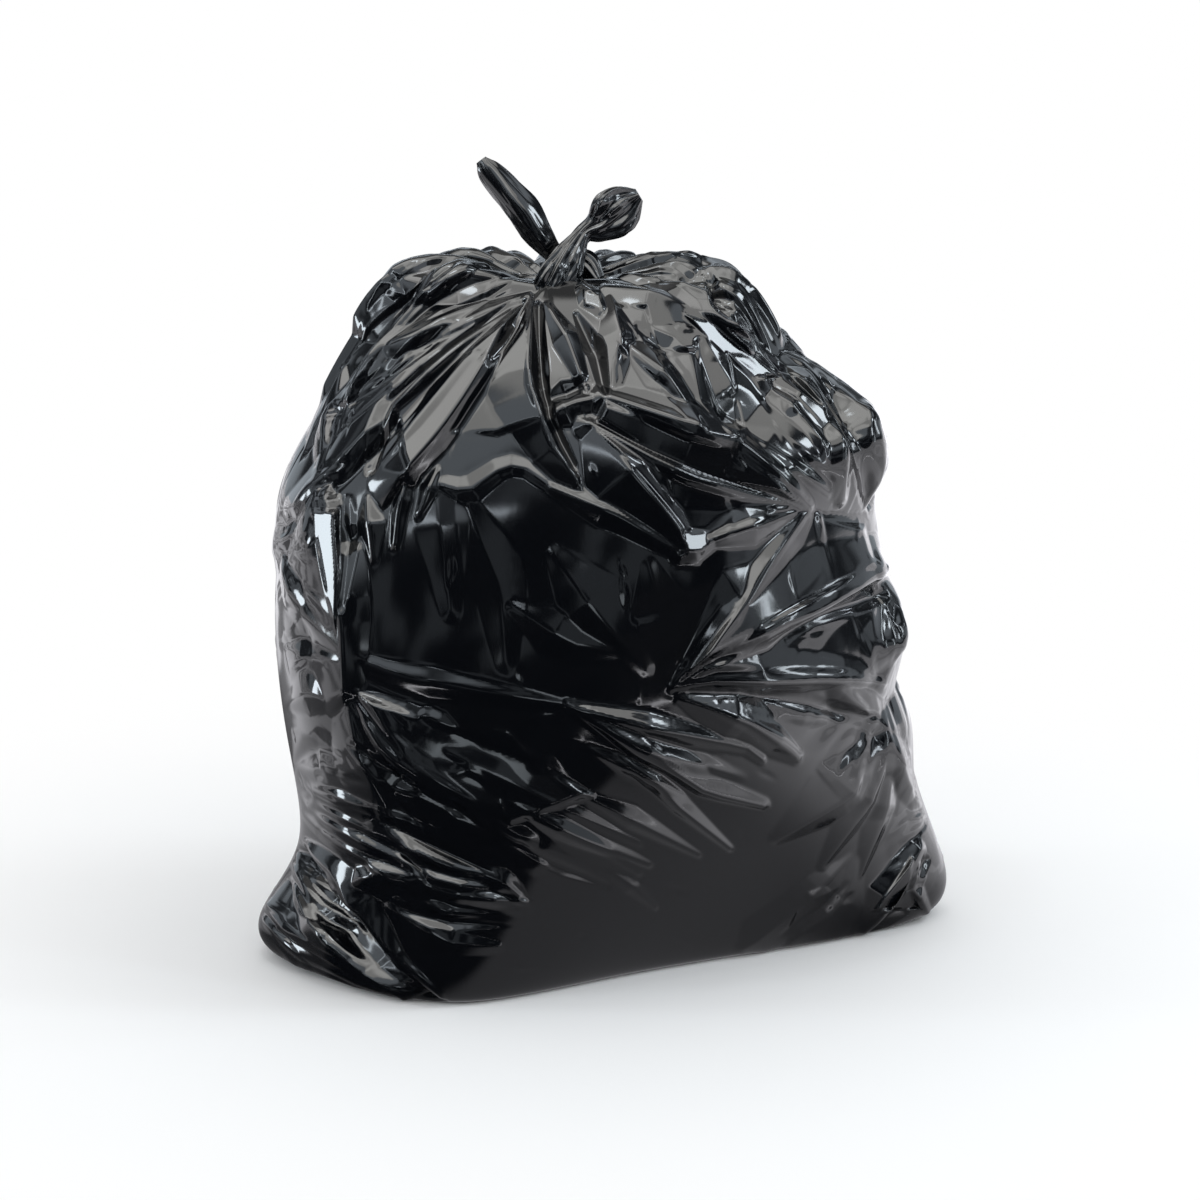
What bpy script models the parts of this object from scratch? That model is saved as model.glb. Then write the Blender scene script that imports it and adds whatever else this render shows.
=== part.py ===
"""A full refuse sack tied with its own mouth: one closed solid that rests on its base.

The sack is one sheet of polythene film, so it is one object. Its form is a smooth loft through
rings of hand-placed points, from the middle of the base up to the neck. Straight folds are raised
on that form: each is a ridge or a groove along a short line, drawn on a sheet that faces one side
of the sack and leans back a little. Above the neck the two gathered corners of the mouth cross
over each other in a half knot, and stand out of it as ears.

Units are metres and +Z is up. The sack stands on z = 0, with the middle of its box at x = y = 0.
"""

import math

import bpy
import numpy as np
from mathutils import Matrix

# ---------------------------------------------------------------- driving dimensions
COLUMNS = 400  # points round the sack, before the mesh is thinned
ROWS = 290  # points from the middle of the base up to the neck, before it is thinned
BODY_TRIANGLES = 9000  # what the thinned body keeps

# The sheets that carry the folds. Each has its azimuth, where 0 faces the front, how far it leans
# back, and how far in front of the sack's middle it meets the ground.
FRONT_SHEET = (0.0, math.radians(15), 0.215)
RIGHT_SHEET = (math.radians(90), math.radians(15), 0.215)
BACK_SHEET = (math.radians(180), math.radians(15), 0.215)
LEFT_SHEET = (math.radians(270), math.radians(15), 0.215)
TOP_SHEET = (0.0, math.radians(90), 0.0)
FACING = (0.02, 0.34)  # a fold fades out where the film turns edge-on to its sheet
FOLD_PARTS = 10  # straight parts that stand for a fold's curve
FULLEST = 0.4  # where along its line a fold is highest and widest

# The made-up folds of the other sides.
NECK = (-0.033, 0.0)
PLEATS = 23  # pleats that run out from the neck, all round but at the front
PLEAT_SPREAD = math.radians(112)  # the first and last pleat stand this far from the back
LONG_FOLDS = 12
SMALL_FOLDS = 16
OTHER_SIDES = ((RIGHT_SHEET, 21), (BACK_SHEET, 34), (LEFT_SHEET, 55))  # with their seeds
PLEAT_SEED = 8

FILM_COLOUR = (0.006, 0.006, 0.007, 1.0)
FILM_ROUGHNESS = 0.13

KNOT_AT = (-0.035, -0.012, 0.600)
KNOT_SIZE = (0.026, 0.021, 0.022)
KNOT_ROWS = 14
KNOT_POINTS = 36
EAR_STEPS = 30  # sections along each gathered corner
EAR_POINTS = 20  # points round each section
PLEAT_DEPTH = 0.10  # how deep the pleats of an ear are, as a share of its section
CRUMPLE = 0.035  # how far its points stray, as a share of its section

# Each ear: the curve it follows, half its width, half its thickness and its curl along the curve,
# the direction of its width, how many pleats it has, and its seed.
LEFT_EAR = (
    ((-0.036, -0.012, 0.604), (-0.048, -0.012, 0.624), (-0.066, -0.008, 0.650),
     (-0.086, -0.002, 0.674), (-0.103, 0.003, 0.694)),
    (0.008, 0.0115, 0.0135, 0.0125, 0.0105, 0.0085, 0.004),
    (0.007, 0.0065, 0.0050, 0.0045, 0.0042, 0.0040, 0.002),
    (0.000, -0.006, -0.010, -0.010, -0.008, -0.005, 0.000),
    (0.80, 0.10, 0.58), 3, 11,
)
RIGHT_EAR = (
    ((-0.030, -0.014, 0.602), (-0.026, -0.012, 0.621), (-0.014, -0.008, 0.636),
     (0.000, -0.003, 0.646), (0.013, 0.001, 0.654), (0.023, 0.003, 0.662)),
    (0.009, 0.010, 0.011, 0.016, 0.0185, 0.017, 0.006),
    (0.008, 0.008, 0.008, 0.011, 0.013, 0.011, 0.004),
    (0.0, 0.0, 0.0, -0.003, -0.004, -0.003, 0.0),
    (-0.60, 0.0, 0.80), 5, 12,
)

# One ring for each level, from the ground up: its height, then ten points round it, starting at
# the front left corner and going by the front, the right, the back and the left.
RINGS = (
    (0.000, ((-0.130, -0.232), (0.018, -0.110), (0.195, -0.030), (0.340, 0.064), (0.245, 0.165),
             (0.120, 0.215), (-0.030, 0.175), (-0.190, 0.100), (-0.322, -0.046), (-0.226, -0.137))),
    (0.030, ((-0.132, -0.240), (0.026, -0.126), (0.195, -0.036), (0.366, 0.062), (0.252, 0.175),
             (0.120, 0.225), (-0.040, 0.185), (-0.195, 0.115), (-0.358, -0.046), (-0.240, -0.146))),
    (0.090, ((-0.160, -0.232), (0.030, -0.158), (0.180, -0.060), (0.328, 0.056), (0.255, 0.165),
             (0.120, 0.228), (-0.050, 0.205), (-0.200, 0.140), (-0.262, -0.005), (-0.238, -0.130))),
    (0.190, ((-0.210, -0.216), (0.010, -0.203), (0.170, -0.130), (0.279, 0.010), (0.255, 0.140),
             (0.130, 0.222), (-0.050, 0.222), (-0.200, 0.165), (-0.288, 0.020), (-0.264, -0.105))),
    (0.310, ((-0.242, -0.186), (0.000, -0.214), (0.165, -0.158), (0.264, -0.010), (0.246, 0.130),
             (0.120, 0.214), (-0.060, 0.220), (-0.200, 0.165), (-0.294, 0.020), (-0.282, -0.090))),
    (0.420, ((-0.222, -0.158), (0.000, -0.190), (0.150, -0.158), (0.246, -0.020), (0.248, 0.110),
             (0.110, 0.195), (-0.060, 0.200), (-0.190, 0.145), (-0.284, 0.020), (-0.262, -0.080))),
    (0.510, ((-0.172, -0.124), (-0.010, -0.156), (0.104, -0.130), (0.194, -0.020), (0.196, 0.095),
             (0.090, 0.160), (-0.060, 0.165), (-0.162, 0.120), (-0.244, 0.020), (-0.220, -0.060))),
    (0.577, ((-0.135, -0.074), (-0.022, -0.082), (0.064, -0.080), (0.128, -0.010), (0.118, 0.075),
             (0.056, 0.116), (-0.060, 0.122), (-0.142, 0.095), (-0.194, 0.020), (-0.176, -0.040))),
    (0.605, ((-0.102, -0.034), (-0.030, -0.024), (0.032, -0.036), (0.096, 0.000), (0.088, 0.050),
             (0.035, 0.070), (-0.050, 0.072), (-0.120, 0.060), (-0.168, 0.015), (-0.145, -0.018))),
    (0.590, ((-0.060, -0.022), (-0.033, -0.030), (-0.008, -0.024), (0.014, 0.000), (0.010, 0.022),
             (-0.015, 0.032), (-0.040, 0.033), (-0.065, 0.024), (-0.080, 0.004), (-0.072, -0.010))),
    (0.592, ((-0.042, -0.014), (-0.033, -0.017), (-0.024, -0.014), (-0.016, -0.002),
             (-0.018, 0.008), (-0.026, 0.014), (-0.036, 0.015), (-0.045, 0.010), (-0.050, 0.002),
             (-0.047, -0.007))),
    (0.612, ((-0.040, -0.010), (-0.033, -0.012), (-0.026, -0.010), (-0.021, -0.002),
             (-0.022, 0.005), (-0.028, 0.009), (-0.035, 0.010), (-0.041, 0.006), (-0.045, 0.001),
             (-0.043, -0.005))),
)

# Folds of the front sheet. Each has the points of its line, as (across, up) on the sheet, the
# width of its flank on the left and on the right of that line, its height, which is negative for
# a groove, and its size at the first and the last point as a share of its full size.
FRONT_FOLDS = (
    # pleats that fan out from the knot to the left shoulder
    (((-0.058, 0.636), (-0.114, 0.642), (-0.159, 0.639)), 0.007, 0.009, 0.007, 0.3, 0.5),
    (((-0.057, 0.629), (-0.121, 0.627), (-0.178, 0.617)), 0.007, 0.007, -0.006, 0.3, 0.4),
    (((-0.056, 0.623), (-0.127, 0.610), (-0.194, 0.587)), 0.008, 0.009, 0.007, 0.3, 0.3),
    (((-0.054, 0.619), (-0.132, 0.591), (-0.207, 0.555)), 0.007, 0.008, -0.007, 0.3, 0.2),
    (((-0.053, 0.616), (-0.138, 0.571), (-0.222, 0.522)), 0.010, 0.010, 0.009, 0.25, 0.2),
    (((-0.052, 0.613), (-0.144, 0.555), (-0.233, 0.489)), 0.007, 0.008, -0.008, 0.25, 0.2),
    (((-0.052, 0.611), (-0.145, 0.539), (-0.245, 0.455)), 0.009, 0.010, 0.009, 0.25, 0.2),
    (((-0.051, 0.608), (-0.140, 0.527), (-0.221, 0.434)), 0.007, 0.008, -0.008, 0.25, 0.15),
    (((-0.050, 0.606), (-0.130, 0.519), (-0.199, 0.424)), 0.009, 0.009, 0.008, 0.25, 0.2),
    (((-0.050, 0.605), (-0.121, 0.519), (-0.164, 0.460), (-0.173, 0.400)),
     0.010, 0.008, 0.010, 0.2, 0.5),
    (((-0.051, 0.603), (-0.104, 0.522), (-0.140, 0.457)), 0.009, 0.012, -0.009, 0.2, 0.1),
    (((-0.052, 0.601), (-0.087, 0.522), (-0.114, 0.477)), 0.012, 0.012, 0.009, 0.2, 0.1),
    (((-0.052, 0.599), (-0.071, 0.537), (-0.089, 0.486)), 0.008, 0.010, -0.008, 0.2, 0.1),
    (((-0.054, 0.598), (-0.061, 0.555), (-0.065, 0.512)), 0.008, 0.005, 0.009, 0.3, 0.1),
    (((-0.055, 0.606), (-0.057, 0.520), (-0.040, 0.479), (-0.018, 0.446)),
     0.007, 0.009, -0.013, 0.4, 0.2),
    # the crushed film under the knot and to its right
    (((-0.040, 0.606), (-0.003, 0.587), (0.016, 0.555), (0.009, 0.510)),
     0.009, 0.012, 0.011, 0.3, 0.3),
    (((-0.044, 0.602), (-0.015, 0.576), (-0.001, 0.544), (0.004, 0.512)),
     0.007, 0.007, -0.010, 0.3, 0.2),
    (((-0.046, 0.591), (-0.021, 0.563), (-0.006, 0.533)), 0.007, 0.008, 0.009, 0.3, 0.1),
    (((-0.047, 0.568), (-0.032, 0.539), (-0.011, 0.522)), 0.008, 0.009, -0.009, 0.2, 0.2),
    (((-0.050, 0.520), (-0.027, 0.533), (0.003, 0.510)), 0.010, 0.014, 0.009, 0.2, 0.3),
    (((0.003, 0.627), (0.013, 0.602), (0.040, 0.574)), 0.009, 0.009, -0.010, 0.3, 0.3),
    (((0.008, 0.623), (0.045, 0.606), (0.083, 0.589), (0.094, 0.544)),
     0.014, 0.012, 0.009, 0.2, 0.2),
    (((0.045, 0.589), (0.032, 0.568), (0.056, 0.562), (0.089, 0.503)),
     0.008, 0.009, -0.008, 0.3, 0.1),
    (((0.016, 0.568), (0.056, 0.533), (0.089, 0.488)), 0.012, 0.009, 0.008, 0.2, 0.1),
    (((0.032, 0.527), (0.063, 0.512), (0.085, 0.486)), 0.008, 0.009, -0.008, 0.1, 0.1),
    (((0.003, 0.634), (0.040, 0.639), (0.107, 0.648)), 0.008, 0.010, 0.008, 0.4, 0.6),
    (((0.008, 0.630), (0.045, 0.627), (0.083, 0.639), (0.114, 0.642)),
     0.007, 0.008, -0.007, 0.3, 0.2),
    (((0.032, 0.620), (0.075, 0.606), (0.094, 0.627)), 0.010, 0.010, 0.008, 0.2, 0.3),
    (((0.096, 0.622), (0.102, 0.598), (0.131, 0.574)), 0.006, 0.008, -0.008, 0.4, 0.1),
    # the long lens of film across the front, right of the middle
    (((0.008, 0.510), (-0.013, 0.494)), 0.008, 0.008, 0.010, 0.4, 0.8),
    (((-0.013, 0.494), (0.040, 0.484), (0.101, 0.458), (0.144, 0.443), (0.176, 0.433)),
     0.016, 0.022, 0.015, 0.4, 0.2),
    (((-0.009, 0.491), (0.032, 0.467), (0.088, 0.436), (0.175, 0.433)),
     0.016, 0.018, -0.012, 0.3, 0.1),
    (((-0.011, 0.491), (0.021, 0.453), (0.056, 0.415), (0.075, 0.393)),
     0.018, 0.010, 0.012, 0.3, 0.4),
    (((0.176, 0.433), (0.144, 0.412), (0.083, 0.398)), 0.020, 0.016, 0.012, 0.3, 0.3),
    (((-0.054, 0.517), (-0.027, 0.462), (0.019, 0.421), (0.056, 0.393)),
     0.010, 0.012, 0.010, 0.2, 0.5),
    (((-0.040, 0.486), (-0.003, 0.434), (0.040, 0.410)), 0.008, 0.009, -0.008, 0.2, 0.2),
    # the right shoulder
    (((0.075, 0.587), (0.114, 0.562), (0.161, 0.527), (0.223, 0.460)),
     0.026, 0.014, 0.012, 0.2, 0.2),
    (((0.083, 0.568), (0.097, 0.520), (0.135, 0.486), (0.204, 0.446)),
     0.014, 0.012, -0.009, 0.2, 0.1),
    (((0.122, 0.630), (0.168, 0.581), (0.204, 0.519), (0.228, 0.445)),
     0.016, 0.020, 0.009, 0.2, 0.3),
    (((0.180, 0.565), (0.211, 0.519), (0.228, 0.477), (0.233, 0.439)),
     0.010, 0.014, -0.014, 0.2, 0.4),
    (((0.200, 0.550), (0.228, 0.512), (0.238, 0.443)), 0.012, 0.012, 0.009, 0.2, 0.2),
    (((0.208, 0.477), (0.228, 0.453), (0.235, 0.434)), 0.007, 0.007, 0.008, 0.1, 0.4),
    # the fan on the right flank, between the corners of what is inside
    (((0.065, 0.274), (0.118, 0.329), (0.169, 0.393), (0.208, 0.430)),
     0.020, 0.024, 0.009, 0.2, 0.2),
    (((0.065, 0.274), (0.144, 0.314), (0.245, 0.378)), 0.014, 0.018, -0.010, 0.1, 0.3),
    (((0.066, 0.273), (0.118, 0.283), (0.169, 0.281), (0.243, 0.281)),
     0.014, 0.012, 0.011, 0.2, 0.5),
    (((0.068, 0.269), (0.118, 0.252), (0.164, 0.218)), 0.012, 0.014, 0.011, 0.2, 0.1),
    (((0.075, 0.267), (0.144, 0.262), (0.234, 0.250)), 0.009, 0.010, -0.008, 0.1, 0.3),
    (((0.243, 0.281), (0.252, 0.323), (0.257, 0.361)), 0.012, 0.012, 0.010, 0.6, 0.3),
    (((0.243, 0.281), (0.260, 0.258), (0.281, 0.218)), 0.010, 0.012, 0.011, 0.6, 0.3),
    (((0.247, 0.226), (0.212, 0.176), (0.161, 0.138)), 0.014, 0.018, 0.009, 0.3, 0.2),
    (((0.277, 0.211), (0.255, 0.159), (0.230, 0.107)), 0.009, 0.010, -0.007, 0.2, 0.1),
    # the long folds that run down from the left corner of what is inside
    (((-0.216, 0.274), (-0.192, 0.262), (-0.123, 0.230), (-0.037, 0.188)),
     0.012, 0.022, 0.014, 0.5, 0.2),
    (((-0.214, 0.271), (-0.188, 0.221), (-0.132, 0.171), (-0.037, 0.128), (0.049, 0.099)),
     0.022, 0.016, 0.014, 0.5, 0.1),
    (((-0.209, 0.269), (-0.149, 0.211), (-0.071, 0.171), (0.032, 0.125)),
     0.010, 0.012, -0.010, 0.2, 0.1),
    (((-0.024, 0.264), (0.032, 0.235), (0.083, 0.194), (0.132, 0.166)),
     0.010, 0.012, 0.009, 0.2, 0.1),
    (((-0.024, 0.264), (0.049, 0.249), (0.128, 0.226)), 0.009, 0.010, 0.008, 0.2, 0.1),
    (((-0.020, 0.258), (0.045, 0.221), (0.101, 0.176)), 0.007, 0.008, -0.008, 0.1, 0.1),
    (((-0.089, 0.226), (-0.003, 0.176), (0.083, 0.123)), 0.009, 0.010, 0.008, 0.1, 0.1),
    (((-0.140, 0.226), (-0.054, 0.176), (0.032, 0.114)), 0.008, 0.009, -0.007, 0.1, 0.1),
    (((0.006, 0.228), (0.075, 0.176), (0.118, 0.137)), 0.007, 0.008, 0.007, 0.1, 0.2),
    # the crushed film low on the left
    (((-0.261, 0.192), (-0.192, 0.166), (-0.130, 0.132), (-0.090, 0.114)),
     0.006, 0.007, 0.007, 0.2, 0.2),
    (((-0.250, 0.202), (-0.175, 0.176), (-0.106, 0.140), (-0.071, 0.120)),
     0.005, 0.006, -0.006, 0.2, 0.2),
    (((-0.235, 0.209), (-0.157, 0.185), (-0.089, 0.149), (-0.050, 0.126)),
     0.006, 0.007, 0.007, 0.2, 0.2),
    (((-0.218, 0.206), (-0.140, 0.185), (-0.054, 0.140)), 0.005, 0.006, -0.006, 0.2, 0.1),
    (((-0.264, 0.176), (-0.209, 0.145), (-0.157, 0.107), (-0.132, 0.086)),
     0.006, 0.008, 0.007, 0.2, 0.2),
    (((-0.261, 0.163), (-0.218, 0.133), (-0.175, 0.099)), 0.006, 0.007, -0.006, 0.2, 0.2),
    (((-0.157, 0.118), (-0.114, 0.107), (-0.071, 0.086)), 0.006, 0.007, 0.006, 0.2, 0.1),
    (((-0.183, 0.090), (-0.132, 0.060), (-0.089, 0.056)), 0.006, 0.007, -0.005, 0.2, 0.1),
    (((-0.106, 0.123), (-0.078, 0.107), (-0.063, 0.086)), 0.005, 0.006, 0.006, 0.3, 0.1),
    # the corner that lies out to the left
    (((-0.262, 0.135), (-0.230, 0.086), (-0.192, 0.043), (-0.133, 0.001)),
     0.014, 0.014, -0.026, 0.4, 0.3),
    (((-0.261, 0.140), (-0.222, 0.118), (-0.207, 0.087), (-0.179, 0.040), (-0.140, 0.013)),
     0.010, 0.016, 0.012, 0.3, 0.2),
    (((-0.207, 0.087), (-0.179, 0.109), (-0.140, 0.118)), 0.009, 0.012, 0.010, 0.5, 0.1),
    (((-0.293, 0.086), (-0.261, 0.065), (-0.209, 0.028), (-0.149, 0.004)),
     0.009, 0.009, 0.007, 0.3, 0.2),
    (((-0.286, 0.065), (-0.235, 0.039), (-0.175, 0.013)), 0.007, 0.007, -0.005, 0.2, 0.2),
    # the edge between the front and the left flank
    (((-0.245, 0.460), (-0.230, 0.396), (-0.218, 0.340), (-0.216, 0.274)),
     0.014, 0.022, 0.012, 0.1, 0.5),
    (((-0.216, 0.271), (-0.207, 0.228), (-0.181, 0.176), (-0.157, 0.133)),
     0.014, 0.014, 0.009, 0.4, 0.1),
    (((-0.261, 0.417), (-0.245, 0.383), (-0.221, 0.341)), 0.012, 0.010, -0.009, 0.3, 0.1),
    (((-0.221, 0.427), (-0.219, 0.383), (-0.218, 0.343)), 0.009, 0.007, 0.008, 0.3, 0.1),
    (((-0.199, 0.434), (-0.195, 0.408), (-0.194, 0.384)), 0.006, 0.006, 0.007, 0.2, 0.2),
    (((-0.281, 0.383), (-0.261, 0.365), (-0.226, 0.338)), 0.010, 0.010, 0.007, 0.2, 0.1),
    (((-0.279, 0.314), (-0.256, 0.323), (-0.222, 0.305)), 0.009, 0.009, -0.006, 0.2, 0.1),
    (((-0.276, 0.271), (-0.252, 0.279), (-0.219, 0.262)), 0.010, 0.010, 0.006, 0.2, 0.1),
    (((-0.269, 0.211), (-0.245, 0.228), (-0.222, 0.218)), 0.009, 0.009, -0.006, 0.2, 0.1),
    # the lower right corner
    (((0.235, 0.061), (0.261, 0.097), (0.290, 0.132)), 0.009, 0.008, 0.010, 0.2, 0.4),
    (((0.242, 0.061), (0.268, 0.086), (0.293, 0.123)), 0.007, 0.007, -0.008, 0.2, 0.2),
    (((0.286, 0.133), (0.279, 0.099), (0.293, 0.077)), 0.007, 0.007, 0.007, 0.3, 0.3),
    (((0.169, 0.054), (0.212, 0.090), (0.230, 0.125)), 0.014, 0.016, 0.006, 0.1, 0.1),
)


def spline_weights(count, spans, closed):
    """The weights of a uniform cubic B-spline: count rows, one column for each control point."""
    if closed:
        place = np.arange(count) * spans / count
        columns = spans
    else:
        place = np.linspace(0.0, spans, count)
        columns = spans + 3
    start = np.minimum(np.floor(place).astype(int), spans - 1)
    t = place - start
    share = (
        (1 - t) ** 3 / 6,
        (3 * t**3 - 6 * t**2 + 4) / 6,
        (-3 * t**3 + 3 * t**2 + 3 * t + 1) / 6,
        t**3 / 6,
    )
    weights = np.zeros((count, columns))
    for k in range(4):
        column = (start + k - 1) % spans if closed else start + k
        weights[np.arange(count), column] += share[k]
    return weights


def control_rings():
    """Every control ring as an array: the flat base, the rings above it, and the neck."""
    foot = np.array(RINGS[0][1])
    middle = foot.mean(axis=0)
    rings = []
    for size in (0.0, 0.0, 0.0, 0.35, 0.7, 0.9):
        flat = middle + (foot - middle) * size
        rings.append(np.column_stack([flat, np.zeros(len(foot))]))
    for height, points in RINGS:
        rings.append(np.column_stack([np.array(points), np.full(len(points), height)]))
    return np.array(rings)


def plain_form(rows, columns):
    """The sack before it is folded, as an array of rows x columns points."""
    cage = control_rings()
    along = spline_weights(rows, len(cage) - 3, closed=False)
    round_it = spline_weights(columns, cage.shape[1], closed=True)
    return np.einsum("ri,ijk,cj->rck", along, cage, round_it)


def outward(grid):
    """The unit normal at each point of the grid: the cross product of its two directions."""
    across = np.roll(grid, -1, axis=1) - np.roll(grid, 1, axis=1)
    up = np.gradient(grid, axis=0)
    normal = np.cross(across, up)
    length = np.linalg.norm(normal, axis=-1, keepdims=True)
    return normal / np.maximum(length, 1e-12)


def smooth_step(low, high, value):
    """0 below low, 1 above high, and a smooth rise between them."""
    t = np.clip((value - low) / (high - low), 0.0, 1.0)
    return t * t * (3 - 2 * t)


def curve_through(points, parts):
    """A smooth curve through the points: the Catmull-Rom curve, cut into equal parts."""
    p = np.array(points, float)
    if len(p) == 2:
        return p[0] + (p[1] - p[0]) * np.linspace(0, 1, parts + 1)[:, None]
    p = np.vstack([2 * p[0] - p[1], p, 2 * p[-1] - p[-2]])
    place = np.linspace(0, len(p) - 3, parts + 1)
    k = np.minimum(place.astype(int), len(p) - 4)
    t = (place - k)[:, None]
    a, b, c, d = p[k], p[k + 1], p[k + 2], p[k + 3]
    return 0.5 * (
        2 * b + (c - a) * t + (2 * a - 5 * b + 4 * c - d) * t**2 + (3 * b - a - 3 * c + d) * t**3
    )


def fold_height(place, fold):
    """How high a fold stands at each place on its sheet.

    Across its line a fold is a tent: it falls off evenly to nothing at the edge of each flank.
    Along its line the tent's width and height grow from the first share to full size, and then
    shrink to the last share.
    """
    points, left, right, height, first, last = fold
    line = curve_through(points, FOLD_PARTS)
    nearest = np.full(place.shape[:-1], np.inf)
    side = np.zeros(place.shape[:-1])
    along = np.zeros(place.shape[:-1])
    for k in range(FOLD_PARTS):
        start = line[k]
        step = line[k + 1] - start
        away = place - start
        t = np.clip(away @ step / (step @ step), 0.0, 1.0)
        miss = away - t[..., None] * step
        distance = np.hypot(miss[..., 0], miss[..., 1])
        closer = distance < nearest
        nearest = np.where(closer, distance, nearest)
        side = np.where(closer, step[0] * away[..., 1] - step[1] * away[..., 0], side)
        along = np.where(closer, (k + t) / FOLD_PARTS, along)
    rising = 1 - (1 - first) * (1 - along / FULLEST) ** 2
    falling = 1 - (1 - last) * ((along - FULLEST) / (1 - FULLEST)) ** 2
    size = np.where(along < FULLEST, rising, falling)
    flank = np.where(side > 0, left, right) * np.maximum(size, 1e-3)
    return height * size * np.maximum(0.0, 1 - nearest / flank)


def sheet_axes(sheet):
    """The directions of a sheet: the one it faces, the one across it and the one up it."""
    facing, lean, _ = sheet
    s, c = math.sin(facing), math.cos(facing)
    faces = np.array([s * math.cos(lean), -c * math.cos(lean), math.sin(lean)])
    across = np.array([c, s, 0.0])
    up = np.array([-s * math.sin(lean), c * math.sin(lean), math.cos(lean)])
    return faces, across, up


def raised(grid, normal, sheet, folds):
    """How far each point of the grid moves out along its normal for the folds of one sheet."""
    faces, across, up = sheet_axes(sheet)
    foot = np.array([math.sin(sheet[0]), -math.cos(sheet[0]), 0.0]) * sheet[2]
    place = np.stack([grid @ across, (grid - foot) @ up], axis=-1)
    seen = smooth_step(*FACING, normal @ faces)
    total = np.zeros(grid.shape[:-1])
    for fold in folds:
        reach = max(fold[1], fold[2])
        line = np.array(fold[0])
        near = np.all(place > line.min(axis=0) - reach, axis=-1)
        near &= np.all(place < line.max(axis=0) + reach, axis=-1)
        near &= seen > 0
        total[near] += fold_height(place[near], fold)
    return total * seen


def made_up_fold(chance, start, turn, length, bow, width, height, shares):
    """A slightly bowed fold that leaves its start at a turn from straight down the sheet."""
    out = np.array([math.sin(turn), -math.cos(turn)])
    end = start + out * length
    middle = (start + end) / 2 + chance.uniform(-bow, bow, 2)
    return ((start, middle, end), width, 1.25 * width, height, *shares)


def shoulder_pleats():
    """Pleats on the top sheet, which run out from the neck, over the shoulders and down."""
    chance = np.random.default_rng(PLEAT_SEED)
    folds = []
    for k, turn in enumerate(np.linspace(-PLEAT_SPREAD, PLEAT_SPREAD, PLEATS)):
        turn += math.pi + chance.uniform(-0.05, 0.05)
        start = np.array(NECK) + 0.022 * np.array([math.sin(turn), -math.cos(turn)])
        length = chance.uniform(0.14, 0.22)
        width = chance.uniform(0.008, 0.014)
        height = (0.8, -0.6)[k % 2] * width
        folds.append(made_up_fold(chance, start, turn, length, 0.008, width, height, (0.2, 0.4)))
    return folds


def body_folds(seed):
    """Long creases and small ones for a side of the sack."""
    chance = np.random.default_rng(seed)
    folds = []
    for _ in range(LONG_FOLDS):
        start = np.array([chance.uniform(-0.22, 0.22), chance.uniform(0.16, 0.50)])
        turn = chance.choice([-1, 1]) * chance.uniform(0.25, 1.2)
        length = chance.uniform(0.10, 0.20)
        width = chance.uniform(0.012, 0.022)
        height = chance.choice([1, 1, -1]) * chance.uniform(0.008, 0.013)
        folds.append(made_up_fold(chance, start, turn, length, 0.012, width, height, (0.3, 0.1)))
    for _ in range(SMALL_FOLDS):
        start = np.array([chance.uniform(-0.26, 0.26), chance.uniform(0.05, 0.36)])
        turn = chance.choice([-1, 1]) * chance.uniform(0.9, 1.5)
        length = chance.uniform(0.04, 0.09)
        width = chance.uniform(0.006, 0.009)
        height = chance.choice([1, -1]) * chance.uniform(0.005, 0.008)
        folds.append(made_up_fold(chance, start, turn, length, 0.004, width, height, (0.2, 0.2)))
    return folds


def folded_body():
    """The folded sack, from the middle of its base to the top of its neck."""
    grid = plain_form(ROWS, COLUMNS)
    normal = outward(grid)
    height = raised(grid, normal, FRONT_SHEET, FRONT_FOLDS)
    height += raised(grid, normal, TOP_SHEET, shoulder_pleats())
    for sheet, seed in OTHER_SIDES:
        height += raised(grid, normal, sheet, body_folds(seed))
    grid = grid + normal * height[..., None]
    grid[..., 2] = np.maximum(grid[..., 2], 0.0)
    return grid


def gathered(path, wide, thick, curl, side, pleats, seed):
    """A gathered corner of the mouth: a tube of flattened, pleated sections along a curve.

    wide and thick are half the size of the section along the curve, and curl bends the section
    into a gutter. The section's wide direction is the given side, turned square to the curve.
    """
    line = curve_through(path, EAR_STEPS - 1)
    forward = np.gradient(line, axis=0)
    forward /= np.linalg.norm(forward, axis=1, keepdims=True)
    across = np.array(side) - forward * (forward @ np.array(side))[:, None]
    across /= np.linalg.norm(across, axis=1, keepdims=True)
    over = np.cross(forward, across)
    place = np.linspace(0, 1, EAR_STEPS)
    stations = np.linspace(0, 1, len(wide))
    w = np.interp(place, stations, wide)[:, None]
    t = np.interp(place, stations, thick)[:, None]
    bend = np.interp(place, stations, curl)[:, None]
    angle = 2 * math.pi * np.arange(EAR_POINTS)[None, :] / EAR_POINTS
    chance = np.random.default_rng(seed)
    drift = np.cumsum(chance.normal(0, 0.12, EAR_STEPS))[:, None]
    ruffle = 1 + PLEAT_DEPTH * np.cos(pleats * angle + drift)
    ruffle += chance.normal(0, CRUMPLE, (EAR_STEPS, EAR_POINTS))
    u = w * np.cos(angle) * ruffle
    v = t * np.sin(angle) * ruffle + bend * (u / w) ** 2 - bend / 2
    return line[:, None, :] + u[..., None] * across[:, None, :] + v[..., None] * over[:, None, :]


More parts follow.
